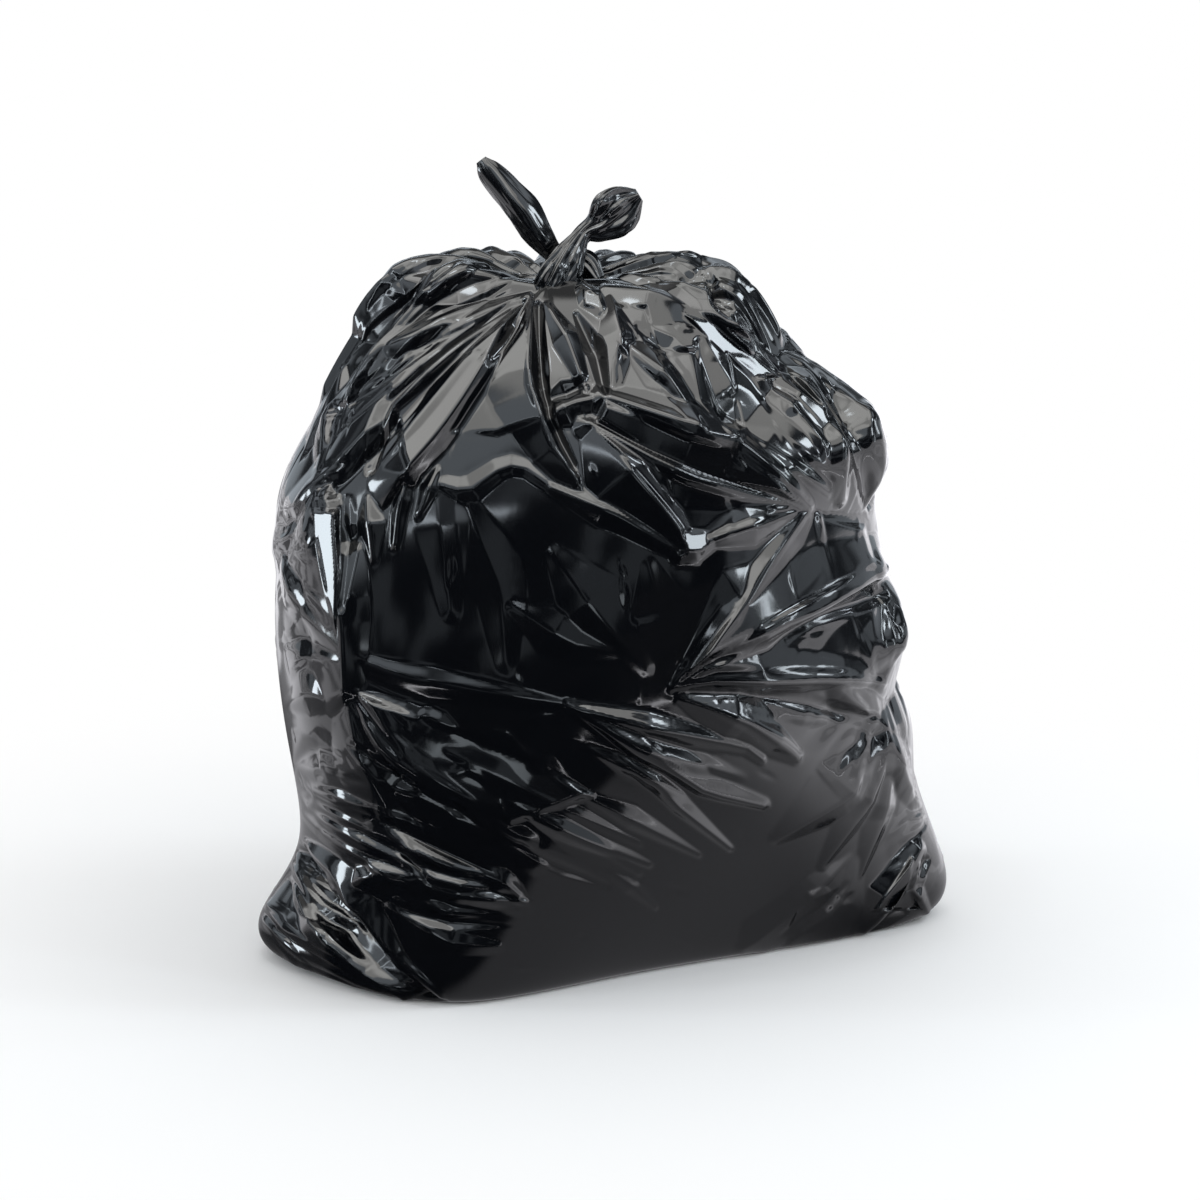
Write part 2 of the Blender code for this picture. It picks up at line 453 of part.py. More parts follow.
def knot():
    """The wrap of the half knot: a squat lump with creases that run up and down."""
    rise = np.linspace(-0.49 * math.pi, 0.49 * math.pi, KNOT_ROWS)[:, None]
    turn = 2 * math.pi * np.arange(KNOT_POINTS)[None, :] / KNOT_POINTS
    chance = np.random.default_rng(7)
    crease = 1 + 0.07 * np.cos(9 * turn + 1.5 * rise) * np.cos(rise)
    crease += chance.normal(0, 0.02, crease.shape)
    size = np.cos(rise) ** 0.7 * crease
    return np.stack(
        [
            KNOT_AT[0] + KNOT_SIZE[0] * size * np.cos(turn),
            KNOT_AT[1] + KNOT_SIZE[1] * size * np.sin(turn),
            KNOT_AT[2] + KNOT_SIZE[2] * np.sin(rise) + 0.0 * turn,
        ],
        axis=-1,
    )


def closed_mesh(name, grid):
    """A mesh of a grid of points: closed round the columns, capped at the first and last row."""
    rows, columns = grid.shape[:2]
    r = np.arange(rows - 1)[:, None] * columns
    c = np.arange(columns)[None, :]
    after = (c + 1) % columns
    faces = np.stack([r + c, r + after, r + columns + after, r + columns + c], axis=-1)
    caps = [list(range(columns))[::-1], list(range((rows - 1) * columns, rows * columns))]
    mesh = bpy.data.meshes.new(name)
    mesh.from_pydata(grid.reshape(-1, 3).tolist(), [], faces.reshape(-1, 4).tolist() + caps)
    return mesh


def film():
    """Thin black polythene, glossy on its outside."""
    material = bpy.data.materials.new("film")
    material.use_nodes = True
    shader = material.node_tree.nodes["Principled BSDF"]
    shader.inputs["Base Color"].default_value = FILM_COLOUR
    shader.inputs["Roughness"].default_value = FILM_ROUGHNESS
    shader.inputs["Metallic"].default_value = 0.0
    return material


def add(name, grid):
    """An object of a closed mesh, shaded smooth."""
    mesh = closed_mesh(name, grid)
    mesh.shade_smooth()
    thing = bpy.data.objects.new(name, mesh)
    bpy.context.collection.objects.link(thing)
    return thing


def join(bag, name, grid):
    """Unites a helper with the sack by a Boolean modifier, and keeps it out of the render."""
    helper = add(name, grid)
    helper.hide_render = True
    helper.display_type = "WIRE"
    union = bag.modifiers.new(name, "BOOLEAN")
    union.operation = "UNION"
    union.solver = "EXACT"
    union.object = helper


def centre():
    """Moves every mesh so that the middle of the sack's box stands over the origin."""
    bpy.context.view_layer.update()
    bag = bpy.data.objects["tied_bin_bag"].evaluated_get(bpy.context.evaluated_depsgraph_get())
    corners = np.array([tuple(corner) for corner in bag.bound_box])
    middle = (corners.min(axis=0) + corners.max(axis=0)) / 2
    for thing in bpy.data.objects:
        thing.data.transform(Matrix.Translation((-middle[0], -middle[1], 0.0)))


def main():
    for old in list(bpy.data.objects):
        bpy.data.objects.remove(old)
    bag = add("tied_bin_bag", folded_body()[3:])
    bag.data.materials.append(film())
    thin = bag.modifiers.new("thin", "DECIMATE")
    thin.ratio = BODY_TRIANGLES / (2 * COLUMNS * (ROWS - 4))
    join(bag, "knot", knot())
    join(bag, "left_ear", gathered(*LEFT_EAR))
    join(bag, "right_ear", gathered(*RIGHT_EAR))
    centre()


if __name__ == "__main__":
    main()
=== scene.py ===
"""The looks of a full bin bag: glossy black film, knot and ears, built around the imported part.

The sack's body is a smooth loft through rings of points, with broad lobes where what is inside
pushes out. Its folds are tents: each has a ridge line, a flank on either side and a height along
the line. They are raised in three layers: the long folds first, then the pleats and small folds
on them, then the finest creases. Where the film is drawn tight, plates pull it flat. The two
gathered corners of the mouth cross in a half knot and stand up as ears. Units are metres, +Z is
up, and every mesh has its place in its points, with its object at the origin.
"""

import math
from typing import NamedTuple

import bpy
import numpy as np
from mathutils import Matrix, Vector


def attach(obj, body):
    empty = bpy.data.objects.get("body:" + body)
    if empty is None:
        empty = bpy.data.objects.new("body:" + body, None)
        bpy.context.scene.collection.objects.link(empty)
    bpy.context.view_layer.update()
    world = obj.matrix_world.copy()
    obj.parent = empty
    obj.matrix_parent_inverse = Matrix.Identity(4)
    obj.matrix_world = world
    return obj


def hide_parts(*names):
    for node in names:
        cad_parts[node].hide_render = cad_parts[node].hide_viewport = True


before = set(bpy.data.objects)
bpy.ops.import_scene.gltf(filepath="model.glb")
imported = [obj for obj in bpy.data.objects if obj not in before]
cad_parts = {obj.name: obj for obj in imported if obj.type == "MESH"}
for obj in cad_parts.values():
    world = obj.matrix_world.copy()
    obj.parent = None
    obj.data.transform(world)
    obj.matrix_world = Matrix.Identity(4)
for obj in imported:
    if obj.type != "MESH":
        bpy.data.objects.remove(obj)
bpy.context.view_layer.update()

bl_info = {
    "name": "Full Bin Bag",
    "version": (1, 0, 0),
    "blender": (4, 5, 0),
    "location": "View3D > Sidebar > Bin Bag",
    "description": "Builds a tied refuse sack of thin black film and the studio it stands in",
    "category": "Add Mesh",
}

NODE = "tied_bin_bag"
BODY = "root"

# ---------------------------------------------------------------- the form of the sack


class Sheet(NamedTuple):
    """A flat sheet on which the folds of a side are laid out.

    It has its azimuth, where 0 faces the front, how far it leans back, and how far in front of
    the sack's middle it meets the ground. A place on it is how far across it and how far up it,
    seen from the side that it faces.
    """

    azimuth: float
    lean: float
    foot: float


class FoldKind(NamedTuple):
    """A kind of made-up fold: how many there are, and the ranges that chance draws each from."""

    count: int
    across: tuple  # where it starts, across its sheet
    up: tuple  # and up it
    turn: tuple  # how far it turns from straight down the sheet, in radians
    length: tuple
    width: tuple
    height: tuple
    signs: tuple  # the signs of the height that it may have
    bow: float  # how far its middle strays
    shares: tuple  # its size at its first and last point, against its full size


FRONT_SHEET = Sheet(0.0, math.radians(15), 0.215)
RIGHT_SHEET = Sheet(math.radians(90), math.radians(15), 0.215)
BACK_SHEET = Sheet(math.radians(180), math.radians(15), 0.215)
LEFT_SHEET = Sheet(math.radians(270), math.radians(15), 0.215)
TOP_SHEET = Sheet(0.0, math.radians(90), 0.0)

# A fold fades out where the film turns away from its sheet. Each pair holds the cosines of the
# angles at which the fold is gone and at which it is whole, at the front and top and elsewhere.
FRONT_FACING = (0.02, 0.34)
SIDE_FACING = (0.5, 0.8)
PLATE_FACING = 0.05  # plates move only film that faces their sheet by more than this

# The loft.
MIDDLE = (0.0069, 0.0036)  # the middle of the finished body, in the rings' own places
BASE_SIZES = (0.0, 0.0, 0.0, 0.35, 0.7, 0.9)  # control rings under the sack, against the lowest
BASE_ROWS = 0.07  # the share of the rows that lie under the sack
BASE_PLACE = 3.6  # where the wall starts, counted in control rings
FRONT_RING = 8  # the control ring that tells which column faces the front
FRONT_CROWDING = 0.5  # how much closer the columns stand at the front
POLE_ROWS = 4  # rows at the middle of the base, too small to keep
SPARE_ROWS = 2  # rows next to those, kept until the folds are raised

# The folds.
PARTS = 10  # straight parts that stand for a fold's line
FULLEST = 0.4  # where along its line a listed fold is highest and widest
RIDGES = (0.0009, 0.0006, 0.0005)  # how far the top of a fold is rounded off, in each layer
LOBE_RIDGE = 0.020  # how far the top of a lobe is rounded off

# The pleats of a gather, against the room or the length that each has.
GATHER_STRAY = 0.3  # how far one lies from the middle of its room
GATHER_LEAN = 0.25  # how far its two ends lean to either side
GATHER_START, GATHER_END = (-0.05, 0.30), (-0.35, 0.05)  # how much it misses at either end
GATHER_RISE, GATHER_FALL = 0.12, 0.25  # how much of its length it takes to rise and to fall
GATHER_HEAD_START = 0.35  # the size that it already has where all are drawn together
GATHER_WIDTH = (0.805, 1.4375)
GATHER_SHARE = (0.3, 0.7)  # the left flank's share of that width
GATHER_HEIGHT = (0.5, 1.2)
GATHER_BROADEST = 0.02  # one that is broader than this stands no higher for it
GATHER_PRESSED = 0.25  # the share of them that are grooves

# The companions of a fold, against its own size and length.
COMPANIONS = 3  # how many lie beside each fold
COMPANION_SIZE = (0.25, 0.5)
COMPANION_AWAY = (0.3, 1.3)  # how many flanks away one lies
COMPANION_START, COMPANION_LENGTH = (-0.1, 0.5), (0.3, 0.7)
COMPANION_RISE, COMPANION_FALL = 0.15, 0.25
COMPANION_LEAST = (0.003, 0.001)  # the least flank and height
COMPANION_SHARE = (0.35, 0.65)  # the left flank's share of the width
TOP_COMPANION_SEED, SIDE_COMPANION_SEED = 2, 3

# The made-up pleats that run out from the neck over the top, all round but at the front.
NECK, NECK_SIZE = (-0.033, 0.0), 0.022  # the middle of the neck, and how far out they start
PLEATS = 23
PLEAT_SPREAD = math.radians(112)  # the first and last pleat stand this far from the back
PLEAT_STRAY = 0.05  # how far one may turn from its even place, in radians
PLEAT_LENGTH, PLEAT_WIDTH = (0.14, 0.22), (0.008, 0.014)
PLEAT_HEIGHTS = (0.8, -0.6)  # against its width, a ridge and a groove in turn
PLEAT_BOW, PLEAT_SHARES = 0.008, (0.2, 0.4)
PLEAT_SEED = 8
TOP_SIZE = (1.3, 1.2)  # the scale of them all, across and out of the surface

# The made-up folds of the other sides.
SIDE_SIZE = (1.6, 0.42)  # the scale of them all, across and out of the surface
OTHER_SIDES = ((RIGHT_SHEET, 21), (BACK_SHEET, 34), (LEFT_SHEET, 55))  # with their seeds
LONG_FOLDS = FoldKind(
    count=12,
    across=(-0.22, 0.22),
    up=(0.16, 0.50),
    turn=(0.25, 1.2),
    length=(0.10, 0.20),
    width=(0.012, 0.022),
    height=(0.008, 0.013),
    signs=(1, 1, -1),
    bow=0.012,
    shares=(0.3, 0.1),
)
SMALL_FOLDS = FoldKind(
    count=11,
    across=(-0.26, 0.26),
    up=(0.05, 0.36),
    turn=(0.9, 1.5),
    length=(0.04, 0.09),
    width=(0.006, 0.009),
    height=(0.005, 0.008),
    signs=(1, -1),
    bow=0.004,
    shares=(0.2, 0.2),
)

# The finest creases.
FRONT_CREASES, SIDE_CREASES = 160, 150  # how many, on the front and on each other side
FRONT_CREASE_SEED, SIDE_CREASE_SEED = 31, 41
CREASE_AREA = ((-0.30, 0.02), (0.30, 0.66))  # two corners of the area that they are scattered over
CREASE_REACH = (0.005, 0.022)  # how far one runs to either side of its middle
CREASE_TURN = 0.35  # how far they turn from the fold nearest to them, in radians
CREASE_BOW = 0.12  # how far they bow, against their reach
CREASE_WIDTH = (0.0020, 0.0045)
CREASE_STEEPNESS = (0.10, 0.28)
CREASE_SIZE = (0.1, 0.8, 1.0, 0.7, 0.1)  # their size along their line
STRAYS = 0.15  # the share of them that stays where the film is taut

# Where the front is drawn tight and has few small creases: x, y and radius on its sheet.
TAUT = ((-0.08, 0.375, 0.11), (0.02, 0.36, 0.08), (0.05, 0.09, 0.10), (0.15, 0.13, 0.10))

# One ring for each level, from the ground up: its height, then ten points round it, starting at
# the front left corner and going by the front, the right, the back and the left.
RINGS = (
    (0.000, ((-0.130, -0.232), (0.018, -0.110), (0.195, -0.030), (0.340, 0.064), (0.245, 0.165),
             (0.120, 0.215), (-0.030, 0.175), (-0.190, 0.100), (-0.322, -0.046), (-0.226, -0.137))),
    (0.030, ((-0.132, -0.240), (0.026, -0.126), (0.195, -0.036), (0.366, 0.062), (0.252, 0.175),
             (0.120, 0.225), (-0.040, 0.185), (-0.195, 0.115), (-0.358, -0.046), (-0.240, -0.146))),
    (0.090, ((-0.160, -0.232), (0.030, -0.158), (0.180, -0.060), (0.328, 0.056), (0.255, 0.165),
             (0.120, 0.228), (-0.050, 0.205), (-0.200, 0.140), (-0.262, -0.005), (-0.238, -0.130))),
    (0.190, ((-0.210, -0.216), (0.010, -0.203), (0.170, -0.130), (0.279, 0.010), (0.255, 0.140),
             (0.130, 0.222), (-0.050, 0.222), (-0.200, 0.165), (-0.288, 0.020), (-0.264, -0.105))),
    (0.310, ((-0.242, -0.186), (0.000, -0.214), (0.165, -0.158), (0.264, -0.010), (0.246, 0.130),
             (0.120, 0.214), (-0.060, 0.220), (-0.200, 0.165), (-0.294, 0.020), (-0.282, -0.090))),
    (0.420, ((-0.222, -0.158), (0.000, -0.190), (0.150, -0.158), (0.246, -0.020), (0.248, 0.110),
             (0.110, 0.195), (-0.060, 0.200), (-0.190, 0.145), (-0.284, 0.020), (-0.262, -0.080))),
    (0.510, ((-0.172, -0.124), (-0.010, -0.156), (0.104, -0.130), (0.194, -0.020), (0.196, 0.095),
             (0.090, 0.160), (-0.060, 0.165), (-0.162, 0.120), (-0.244, 0.020), (-0.220, -0.060))),
    (0.577, ((-0.135, -0.074), (-0.022, -0.082), (0.064, -0.080), (0.128, -0.010), (0.118, 0.075),
             (0.056, 0.116), (-0.060, 0.122), (-0.142, 0.095), (-0.194, 0.020), (-0.176, -0.040))),
    (0.605, ((-0.102, -0.034), (-0.030, -0.024), (0.032, -0.036), (0.096, 0.000), (0.088, 0.050),
             (0.035, 0.070), (-0.050, 0.072), (-0.120, 0.060), (-0.168, 0.015), (-0.145, -0.018))),
    (0.590, ((-0.060, -0.022), (-0.033, -0.030), (-0.008, -0.024), (0.014, 0.000), (0.010, 0.022),
             (-0.015, 0.032), (-0.040, 0.033), (-0.065, 0.024), (-0.080, 0.004), (-0.072, -0.010))),
    (0.592, ((-0.042, -0.014), (-0.033, -0.017), (-0.024, -0.014), (-0.016, -0.002),
             (-0.018, 0.008), (-0.026, 0.014), (-0.036, 0.015), (-0.045, 0.010), (-0.050, 0.002),
             (-0.047, -0.007))),
    (0.612, ((-0.040, -0.010), (-0.033, -0.012), (-0.026, -0.010), (-0.021, -0.002),
             (-0.022, 0.005), (-0.028, 0.009), (-0.035, 0.010), (-0.041, 0.006), (-0.045, 0.001),
             (-0.043, -0.005))),
)

# Folds of the front sheet. Each has the points of its line, as (across, up) on the sheet, the
# width of its flank on the left and on the right of that line, its height, which is negative for
# a groove, and its size at the first and the last point as a share of its full size.
FRONT_FOLDS = (
    # pleats that fan out from the knot to the left shoulder
    (((-0.054, 0.636), (-0.110, 0.642), (-0.155, 0.639)), 0.016, 0.020, 0.008, 0.3, 0.5),
    (((-0.056, 0.617), (-0.119, 0.620), (-0.170, 0.618), (-0.199, 0.589)),
     0.020, 0.018, 0.013, 0.25, 0.7),
    (((-0.059, 0.610), (-0.123, 0.581), (-0.183, 0.562), (-0.217, 0.520)),
     0.012, 0.016, 0.008, 0.2, 0.4),
    (((-0.070, 0.599), (-0.144, 0.558), (-0.228, 0.507)), 0.004, 0.004, -0.004, 0.5, 0.4),
    (((-0.076, 0.593), (-0.144, 0.548), (-0.212, 0.500)), 0.004, 0.004, -0.004, 0.5, 0.4),
    (((-0.061, 0.606), (-0.136, 0.544), (-0.221, 0.460), (-0.255, 0.430)),
     0.020, 0.030, 0.013, 0.2, 0.5),
    (((-0.066, 0.601), (-0.126, 0.562), (-0.177, 0.513), (-0.190, 0.460)),
     0.009, 0.012, -0.011, 0.2, 0.5),
    (((-0.058, 0.605), (-0.111, 0.519), (-0.131, 0.488), (-0.160, 0.452)),
     0.012, 0.046, 0.017, 0.12, 0.75),
    (((-0.059, 0.606), (-0.093, 0.550), (-0.110, 0.522)), 0.009, 0.018, 0.009, 0.2, 0.3),
    (((-0.061, 0.604), (-0.078, 0.568), (-0.089, 0.550)), 0.008, 0.009, -0.009, 0.3, 0.3),
    (((-0.057, 0.603), (-0.057, 0.532), (-0.046, 0.500), (-0.037, 0.477), (-0.018, 0.449)),
     0.008, 0.042, 0.016, 0.2, 0.3),
    (((-0.051, 0.601), (-0.050, 0.531), (-0.040, 0.498), (-0.021, 0.460)),
     0.008, 0.008, -0.010, 0.4, 0.3),
    (((-0.155, 0.453), (-0.110, 0.439), (-0.079, 0.461), (-0.064, 0.461), (-0.040, 0.443)),
     0.012, 0.010, 0.003, 0.4, 0.4),
    (((-0.158, 0.460), (-0.167, 0.421), (-0.170, 0.396)), 0.007, 0.008, 0.007, 0.5, 0.6),
    (((-0.211, 0.434), (-0.209, 0.383)), 0.007, 0.007, 0.006, 0.4, 0.5),
    (((-0.136, 0.457), (-0.144, 0.434), (-0.150, 0.421)), 0.009, 0.009, 0.006, 0.4, 0.4),
    # the crushed film under the knot and to its right
    (((-0.014, 0.615), (0.002, 0.596)), 0.012, 0.012, 0.008, 0.5, 0.6),
    (((-0.019, 0.592), (-0.002, 0.559), (0.005, 0.522)), 0.009, 0.009, -0.010, 0.3, 0.4),
    (((-0.044, 0.599), (-0.027, 0.568), (-0.010, 0.524)), 0.012, 0.012, 0.009, 0.3, 0.3),
    (((-0.040, 0.519), (-0.011, 0.532)), 0.009, 0.009, -0.007, 0.4, 0.4),
    (((-0.050, 0.498), (-0.021, 0.513), (0.005, 0.520)), 0.012, 0.016, 0.008, 0.3, 0.4),
    (((0.010, 0.606), (0.019, 0.568), (0.012, 0.520)), 0.014, 0.020, 0.009, 0.3, 0.3),
    (((0.005, 0.615), (0.051, 0.605), (0.092, 0.591)), 0.016, 0.026, 0.009, 0.3, 0.3),
    (((0.005, 0.634), (0.042, 0.639), (0.109, 0.648)), 0.016, 0.020, 0.008, 0.4, 0.6),
    (((0.010, 0.627), (0.051, 0.622), (0.090, 0.630)), 0.014, 0.014, -0.006, 0.3, 0.4),
    (((0.095, 0.625), (0.109, 0.594), (0.131, 0.579)), 0.012, 0.012, -0.014, 0.5, 0.3),
    (((0.034, 0.581), (0.058, 0.562), (0.090, 0.503)), 0.014, 0.014, -0.008, 0.3, 0.2),
    (((0.019, 0.568), (0.058, 0.533), (0.090, 0.488)), 0.024, 0.016, 0.009, 0.2, 0.2),
    # the long lens of film across the front, right of the middle
    (((0.003, 0.519), (0.073, 0.492), (0.116, 0.481), (0.153, 0.453), (0.177, 0.430)),
     0.030, 0.038, 0.019, 0.4, 0.2),
    (((-0.008, 0.497), (0.041, 0.469), (0.073, 0.453), (0.112, 0.443), (0.177, 0.430)),
     0.004, 0.030, 0.013, 0.5, 0.15),
    (((-0.008, 0.497), (0.024, 0.457), (0.056, 0.421), (0.076, 0.393)),
     0.022, 0.044, 0.018, 0.25, 0.35),
    (((-0.040, 0.443), (0.017, 0.419), (0.066, 0.390)), 0.012, 0.014, 0.008, 0.3, 0.5),
    (((0.068, 0.386), (0.080, 0.393), (0.093, 0.399)), 0.016, 0.012, 0.008, 0.6, 0.6),
    (((0.093, 0.399), (0.136, 0.414), (0.177, 0.430)), 0.024, 0.016, 0.010, 0.4, 0.2),
    (((-0.139, 0.460), (-0.131, 0.400), (-0.124, 0.340)), 0.024, 0.022, 0.0022, 0.4, 0.4),
    (((-0.110, 0.426), (-0.083, 0.357), (-0.078, 0.297)), 0.028, 0.024, -0.0022, 0.4, 0.4),
    (((-0.037, 0.386), (0.000, 0.335), (0.038, 0.293)), 0.032, 0.028, 0.0032, 0.3, 0.3),
    (((-0.072, 0.343), (-0.021, 0.312), (0.021, 0.305)), 0.022, 0.020, 0.003, 0.3, 0.3),
    (((0.042, 0.378), (0.054, 0.331), (0.048, 0.283)), 0.026, 0.026, -0.0025, 0.3, 0.3),
    # the right shoulder
    (((0.076, 0.596), (0.100, 0.589), (0.160, 0.541)), 0.014, 0.007, 0.005, 0.5, 0.5),
    (((0.150, 0.546), (0.180, 0.527), (0.204, 0.505)), 0.022, 0.030, 0.009, 0.3, 0.4),
    (((0.085, 0.568), (0.099, 0.520), (0.136, 0.486), (0.195, 0.452)),
     0.024, 0.020, -0.009, 0.2, 0.2),
    (((0.133, 0.617), (0.168, 0.581), (0.202, 0.537)), 0.018, 0.020, 0.008, 0.3, 0.4),
    (((0.180, 0.562), (0.211, 0.519), (0.228, 0.477), (0.233, 0.439)),
     0.018, 0.022, -0.012, 0.3, 0.4),
    (((0.201, 0.516), (0.206, 0.477), (0.206, 0.437)), 0.012, 0.014, 0.008, 0.4, 0.5),
    (((0.208, 0.537), (0.228, 0.512), (0.238, 0.443)), 0.016, 0.016, 0.010, 0.3, 0.4),
    (((0.102, 0.503), (0.144, 0.477), (0.195, 0.441)), 0.018, 0.014, 0.008, 0.2, 0.2),
    # the fan on the right flank, between the corners of what is inside
    (((0.065, 0.278), (0.153, 0.329), (0.245, 0.378)), 0.064, 0.012, 0.019, 0.08, 0.5),
    (((0.063, 0.279), (0.119, 0.348), (0.175, 0.427)), 0.016, 0.030, 0.012, 0.2, 0.3),
    (((0.061, 0.275), (0.092, 0.283), (0.194, 0.285), (0.243, 0.281)),
     0.028, 0.014, 0.015, 0.15, 0.5),
    (((0.095, 0.301), (0.170, 0.329), (0.245, 0.357)), 0.010, 0.010, -0.009, 0.2, 0.5),
    (((0.068, 0.269), (0.119, 0.252), (0.168, 0.218)), 0.024, 0.026, 0.014, 0.2, 0.3),
    (((0.076, 0.271), (0.153, 0.264), (0.238, 0.252)), 0.014, 0.014, -0.007, 0.2, 0.4),
    (((0.195, 0.285), (0.226, 0.259), (0.252, 0.238)), 0.030, 0.018, 0.010, 0.4, 0.4),
    (((0.243, 0.281), (0.252, 0.323), (0.257, 0.361)), 0.026, 0.026, 0.010, 0.6, 0.4),
    (((0.250, 0.235), (0.259, 0.211), (0.280, 0.176)), 0.020, 0.020, 0.009, 0.5, 0.4),
    (((0.248, 0.230), (0.212, 0.185), (0.153, 0.145)), 0.026, 0.034, 0.011, 0.2, 0.2),
    (((0.252, 0.226), (0.231, 0.176), (0.195, 0.120)), 0.014, 0.022, 0.008, 0.2, 0.2),
    (((0.257, 0.221), (0.248, 0.168), (0.228, 0.107)), 0.012, 0.018, 0.007, 0.2, 0.2),
    # the long folds that run down from the left corner of what is inside
    (((-0.217, 0.301), (-0.153, 0.283), (-0.085, 0.271), (-0.027, 0.261)),
     0.012, 0.014, 0.0037, 0.4, 0.3),
    (((-0.211, 0.278), (-0.184, 0.232), (-0.157, 0.206), (-0.110, 0.176), (-0.068, 0.150)),
     0.056, 0.009, 0.010, 0.2, 0.3),
    (((-0.170, 0.243), (-0.102, 0.211), (-0.034, 0.176), (0.034, 0.144)),
     0.014, 0.020, 0.0062, 0.2, 0.2),
    (((-0.204, 0.228), (-0.144, 0.185), (-0.068, 0.140), (0.008, 0.107)),
     0.014, 0.016, -0.0056, 0.3, 0.2),
    (((-0.027, 0.261), (0.051, 0.243), (0.123, 0.228), (0.139, 0.216)),
     0.010, 0.016, 0.011, 0.25, 0.3),
    (((-0.027, 0.261), (0.042, 0.221), (0.089, 0.189), (0.140, 0.175)),
     0.024, 0.010, 0.012, 0.2, 0.3),
    (((-0.008, 0.224), (0.047, 0.197), (0.066, 0.176), (0.112, 0.138)),
     0.014, 0.009, 0.008, 0.2, 0.3),
    (((-0.013, 0.185), (0.034, 0.161), (0.085, 0.133)), 0.012, 0.009, 0.0055, 0.2, 0.3),
    (((-0.085, 0.185), (-0.017, 0.150), (0.042, 0.125)), 0.016, 0.010, 0.0065, 0.2, 0.3),
    (((-0.136, 0.226), (-0.051, 0.185), (0.034, 0.118)), 0.020, 0.014, 0.0043, 0.2, 0.2),
    (((0.010, 0.118), (0.031, 0.104), (0.048, 0.088)), 0.008, 0.008, 0.0031, 0.3, 0.4),
    # the crushed film low on the left
    (((-0.255, 0.192), (-0.187, 0.166), (-0.126, 0.132), (-0.087, 0.114)),
     0.014, 0.016, 0.0056, 0.2, 0.3),
    (((-0.229, 0.209), (-0.153, 0.185), (-0.085, 0.149), (-0.047, 0.126)),
     0.014, 0.016, 0.005, 0.2, 0.3),
    (((-0.241, 0.183), (-0.170, 0.144), (-0.144, 0.114)), 0.008, 0.008, -0.0043, 0.3, 0.3),
    (((-0.258, 0.168), (-0.204, 0.137), (-0.153, 0.103), (-0.128, 0.086)),
     0.014, 0.018, 0.0056, 0.2, 0.3),
    (((-0.153, 0.118), (-0.110, 0.107), (-0.068, 0.086)), 0.014, 0.016, 0.0043, 0.2, 0.2),
    (((-0.178, 0.090), (-0.128, 0.060), (-0.085, 0.056)), 0.014, 0.016, 0.0043, 0.3, 0.3),
    (((-0.102, 0.123), (-0.075, 0.107), (-0.059, 0.086)), 0.012, 0.012, 0.0043, 0.3, 0.2),
    # the corner that lies out to the left
    (((-0.257, 0.135), (-0.225, 0.086), (-0.187, 0.043), (-0.129, 0.001)),
     0.020, 0.022, -0.026, 0.4, 0.3),
    (((-0.255, 0.140), (-0.217, 0.118), (-0.202, 0.087), (-0.174, 0.040), (-0.136, 0.013)),
     0.020, 0.030, 0.014, 0.3, 0.3),
    (((-0.217, 0.104), (-0.187, 0.121), (-0.144, 0.114)), 0.016, 0.024, 0.010, 0.5, 0.3),
    (((-0.287, 0.086), (-0.255, 0.065), (-0.204, 0.028), (-0.144, 0.004)),
     0.018, 0.020, 0.009, 0.3, 0.3),
    (((-0.280, 0.065), (-0.229, 0.039), (-0.170, 0.013)), 0.012, 0.012, -0.006, 0.2, 0.3),
    # the edge between the front and the left flank
    (((-0.240, 0.460), (-0.224, 0.396), (-0.212, 0.340), (-0.211, 0.274)),
     0.026, 0.044, 0.014, 0.15, 0.6),
    (((-0.211, 0.271), (-0.202, 0.228), (-0.177, 0.176), (-0.153, 0.133)),
     0.026, 0.030, 0.010, 0.4, 0.2),
    (((-0.223, 0.431), (-0.220, 0.383), (-0.222, 0.323)), 0.008, 0.026, 0.013, 0.8, 0.3),
    (((-0.211, 0.434), (-0.211, 0.383), (-0.212, 0.343)), 0.010, 0.010, -0.007, 0.4, 0.3),
    (((-0.194, 0.434), (-0.190, 0.408), (-0.189, 0.384)), 0.012, 0.012, 0.007, 0.3, 0.3),
    (((-0.272, 0.383), (-0.255, 0.362), (-0.221, 0.333)), 0.020, 0.020, 0.005, 0.2, 0.2),
    (((-0.272, 0.314), (-0.251, 0.319), (-0.217, 0.305)), 0.016, 0.016, -0.004, 0.2, 0.2),
    (((-0.270, 0.262), (-0.246, 0.271), (-0.214, 0.262)), 0.020, 0.020, 0.004, 0.2, 0.2),
    (((-0.262, 0.211), (-0.240, 0.224), (-0.217, 0.218)), 0.016, 0.016, -0.004, 0.2, 0.2),
    # the lower right corner
    (((0.235, 0.061), (0.260, 0.097), (0.282, 0.133)), 0.020, 0.018, 0.012, 0.2, 0.5),
    (((0.243, 0.059), (0.268, 0.086), (0.292, 0.123)), 0.012, 0.012, -0.009, 0.3, 0.3),
    (((0.280, 0.133), (0.277, 0.099), (0.292, 0.077)), 0.014, 0.014, 0.009, 0.4, 0.4),
    (((0.170, 0.054), (0.212, 0.090), (0.229, 0.125)), 0.026, 0.030, 0.006, 0.2, 0.2),
)

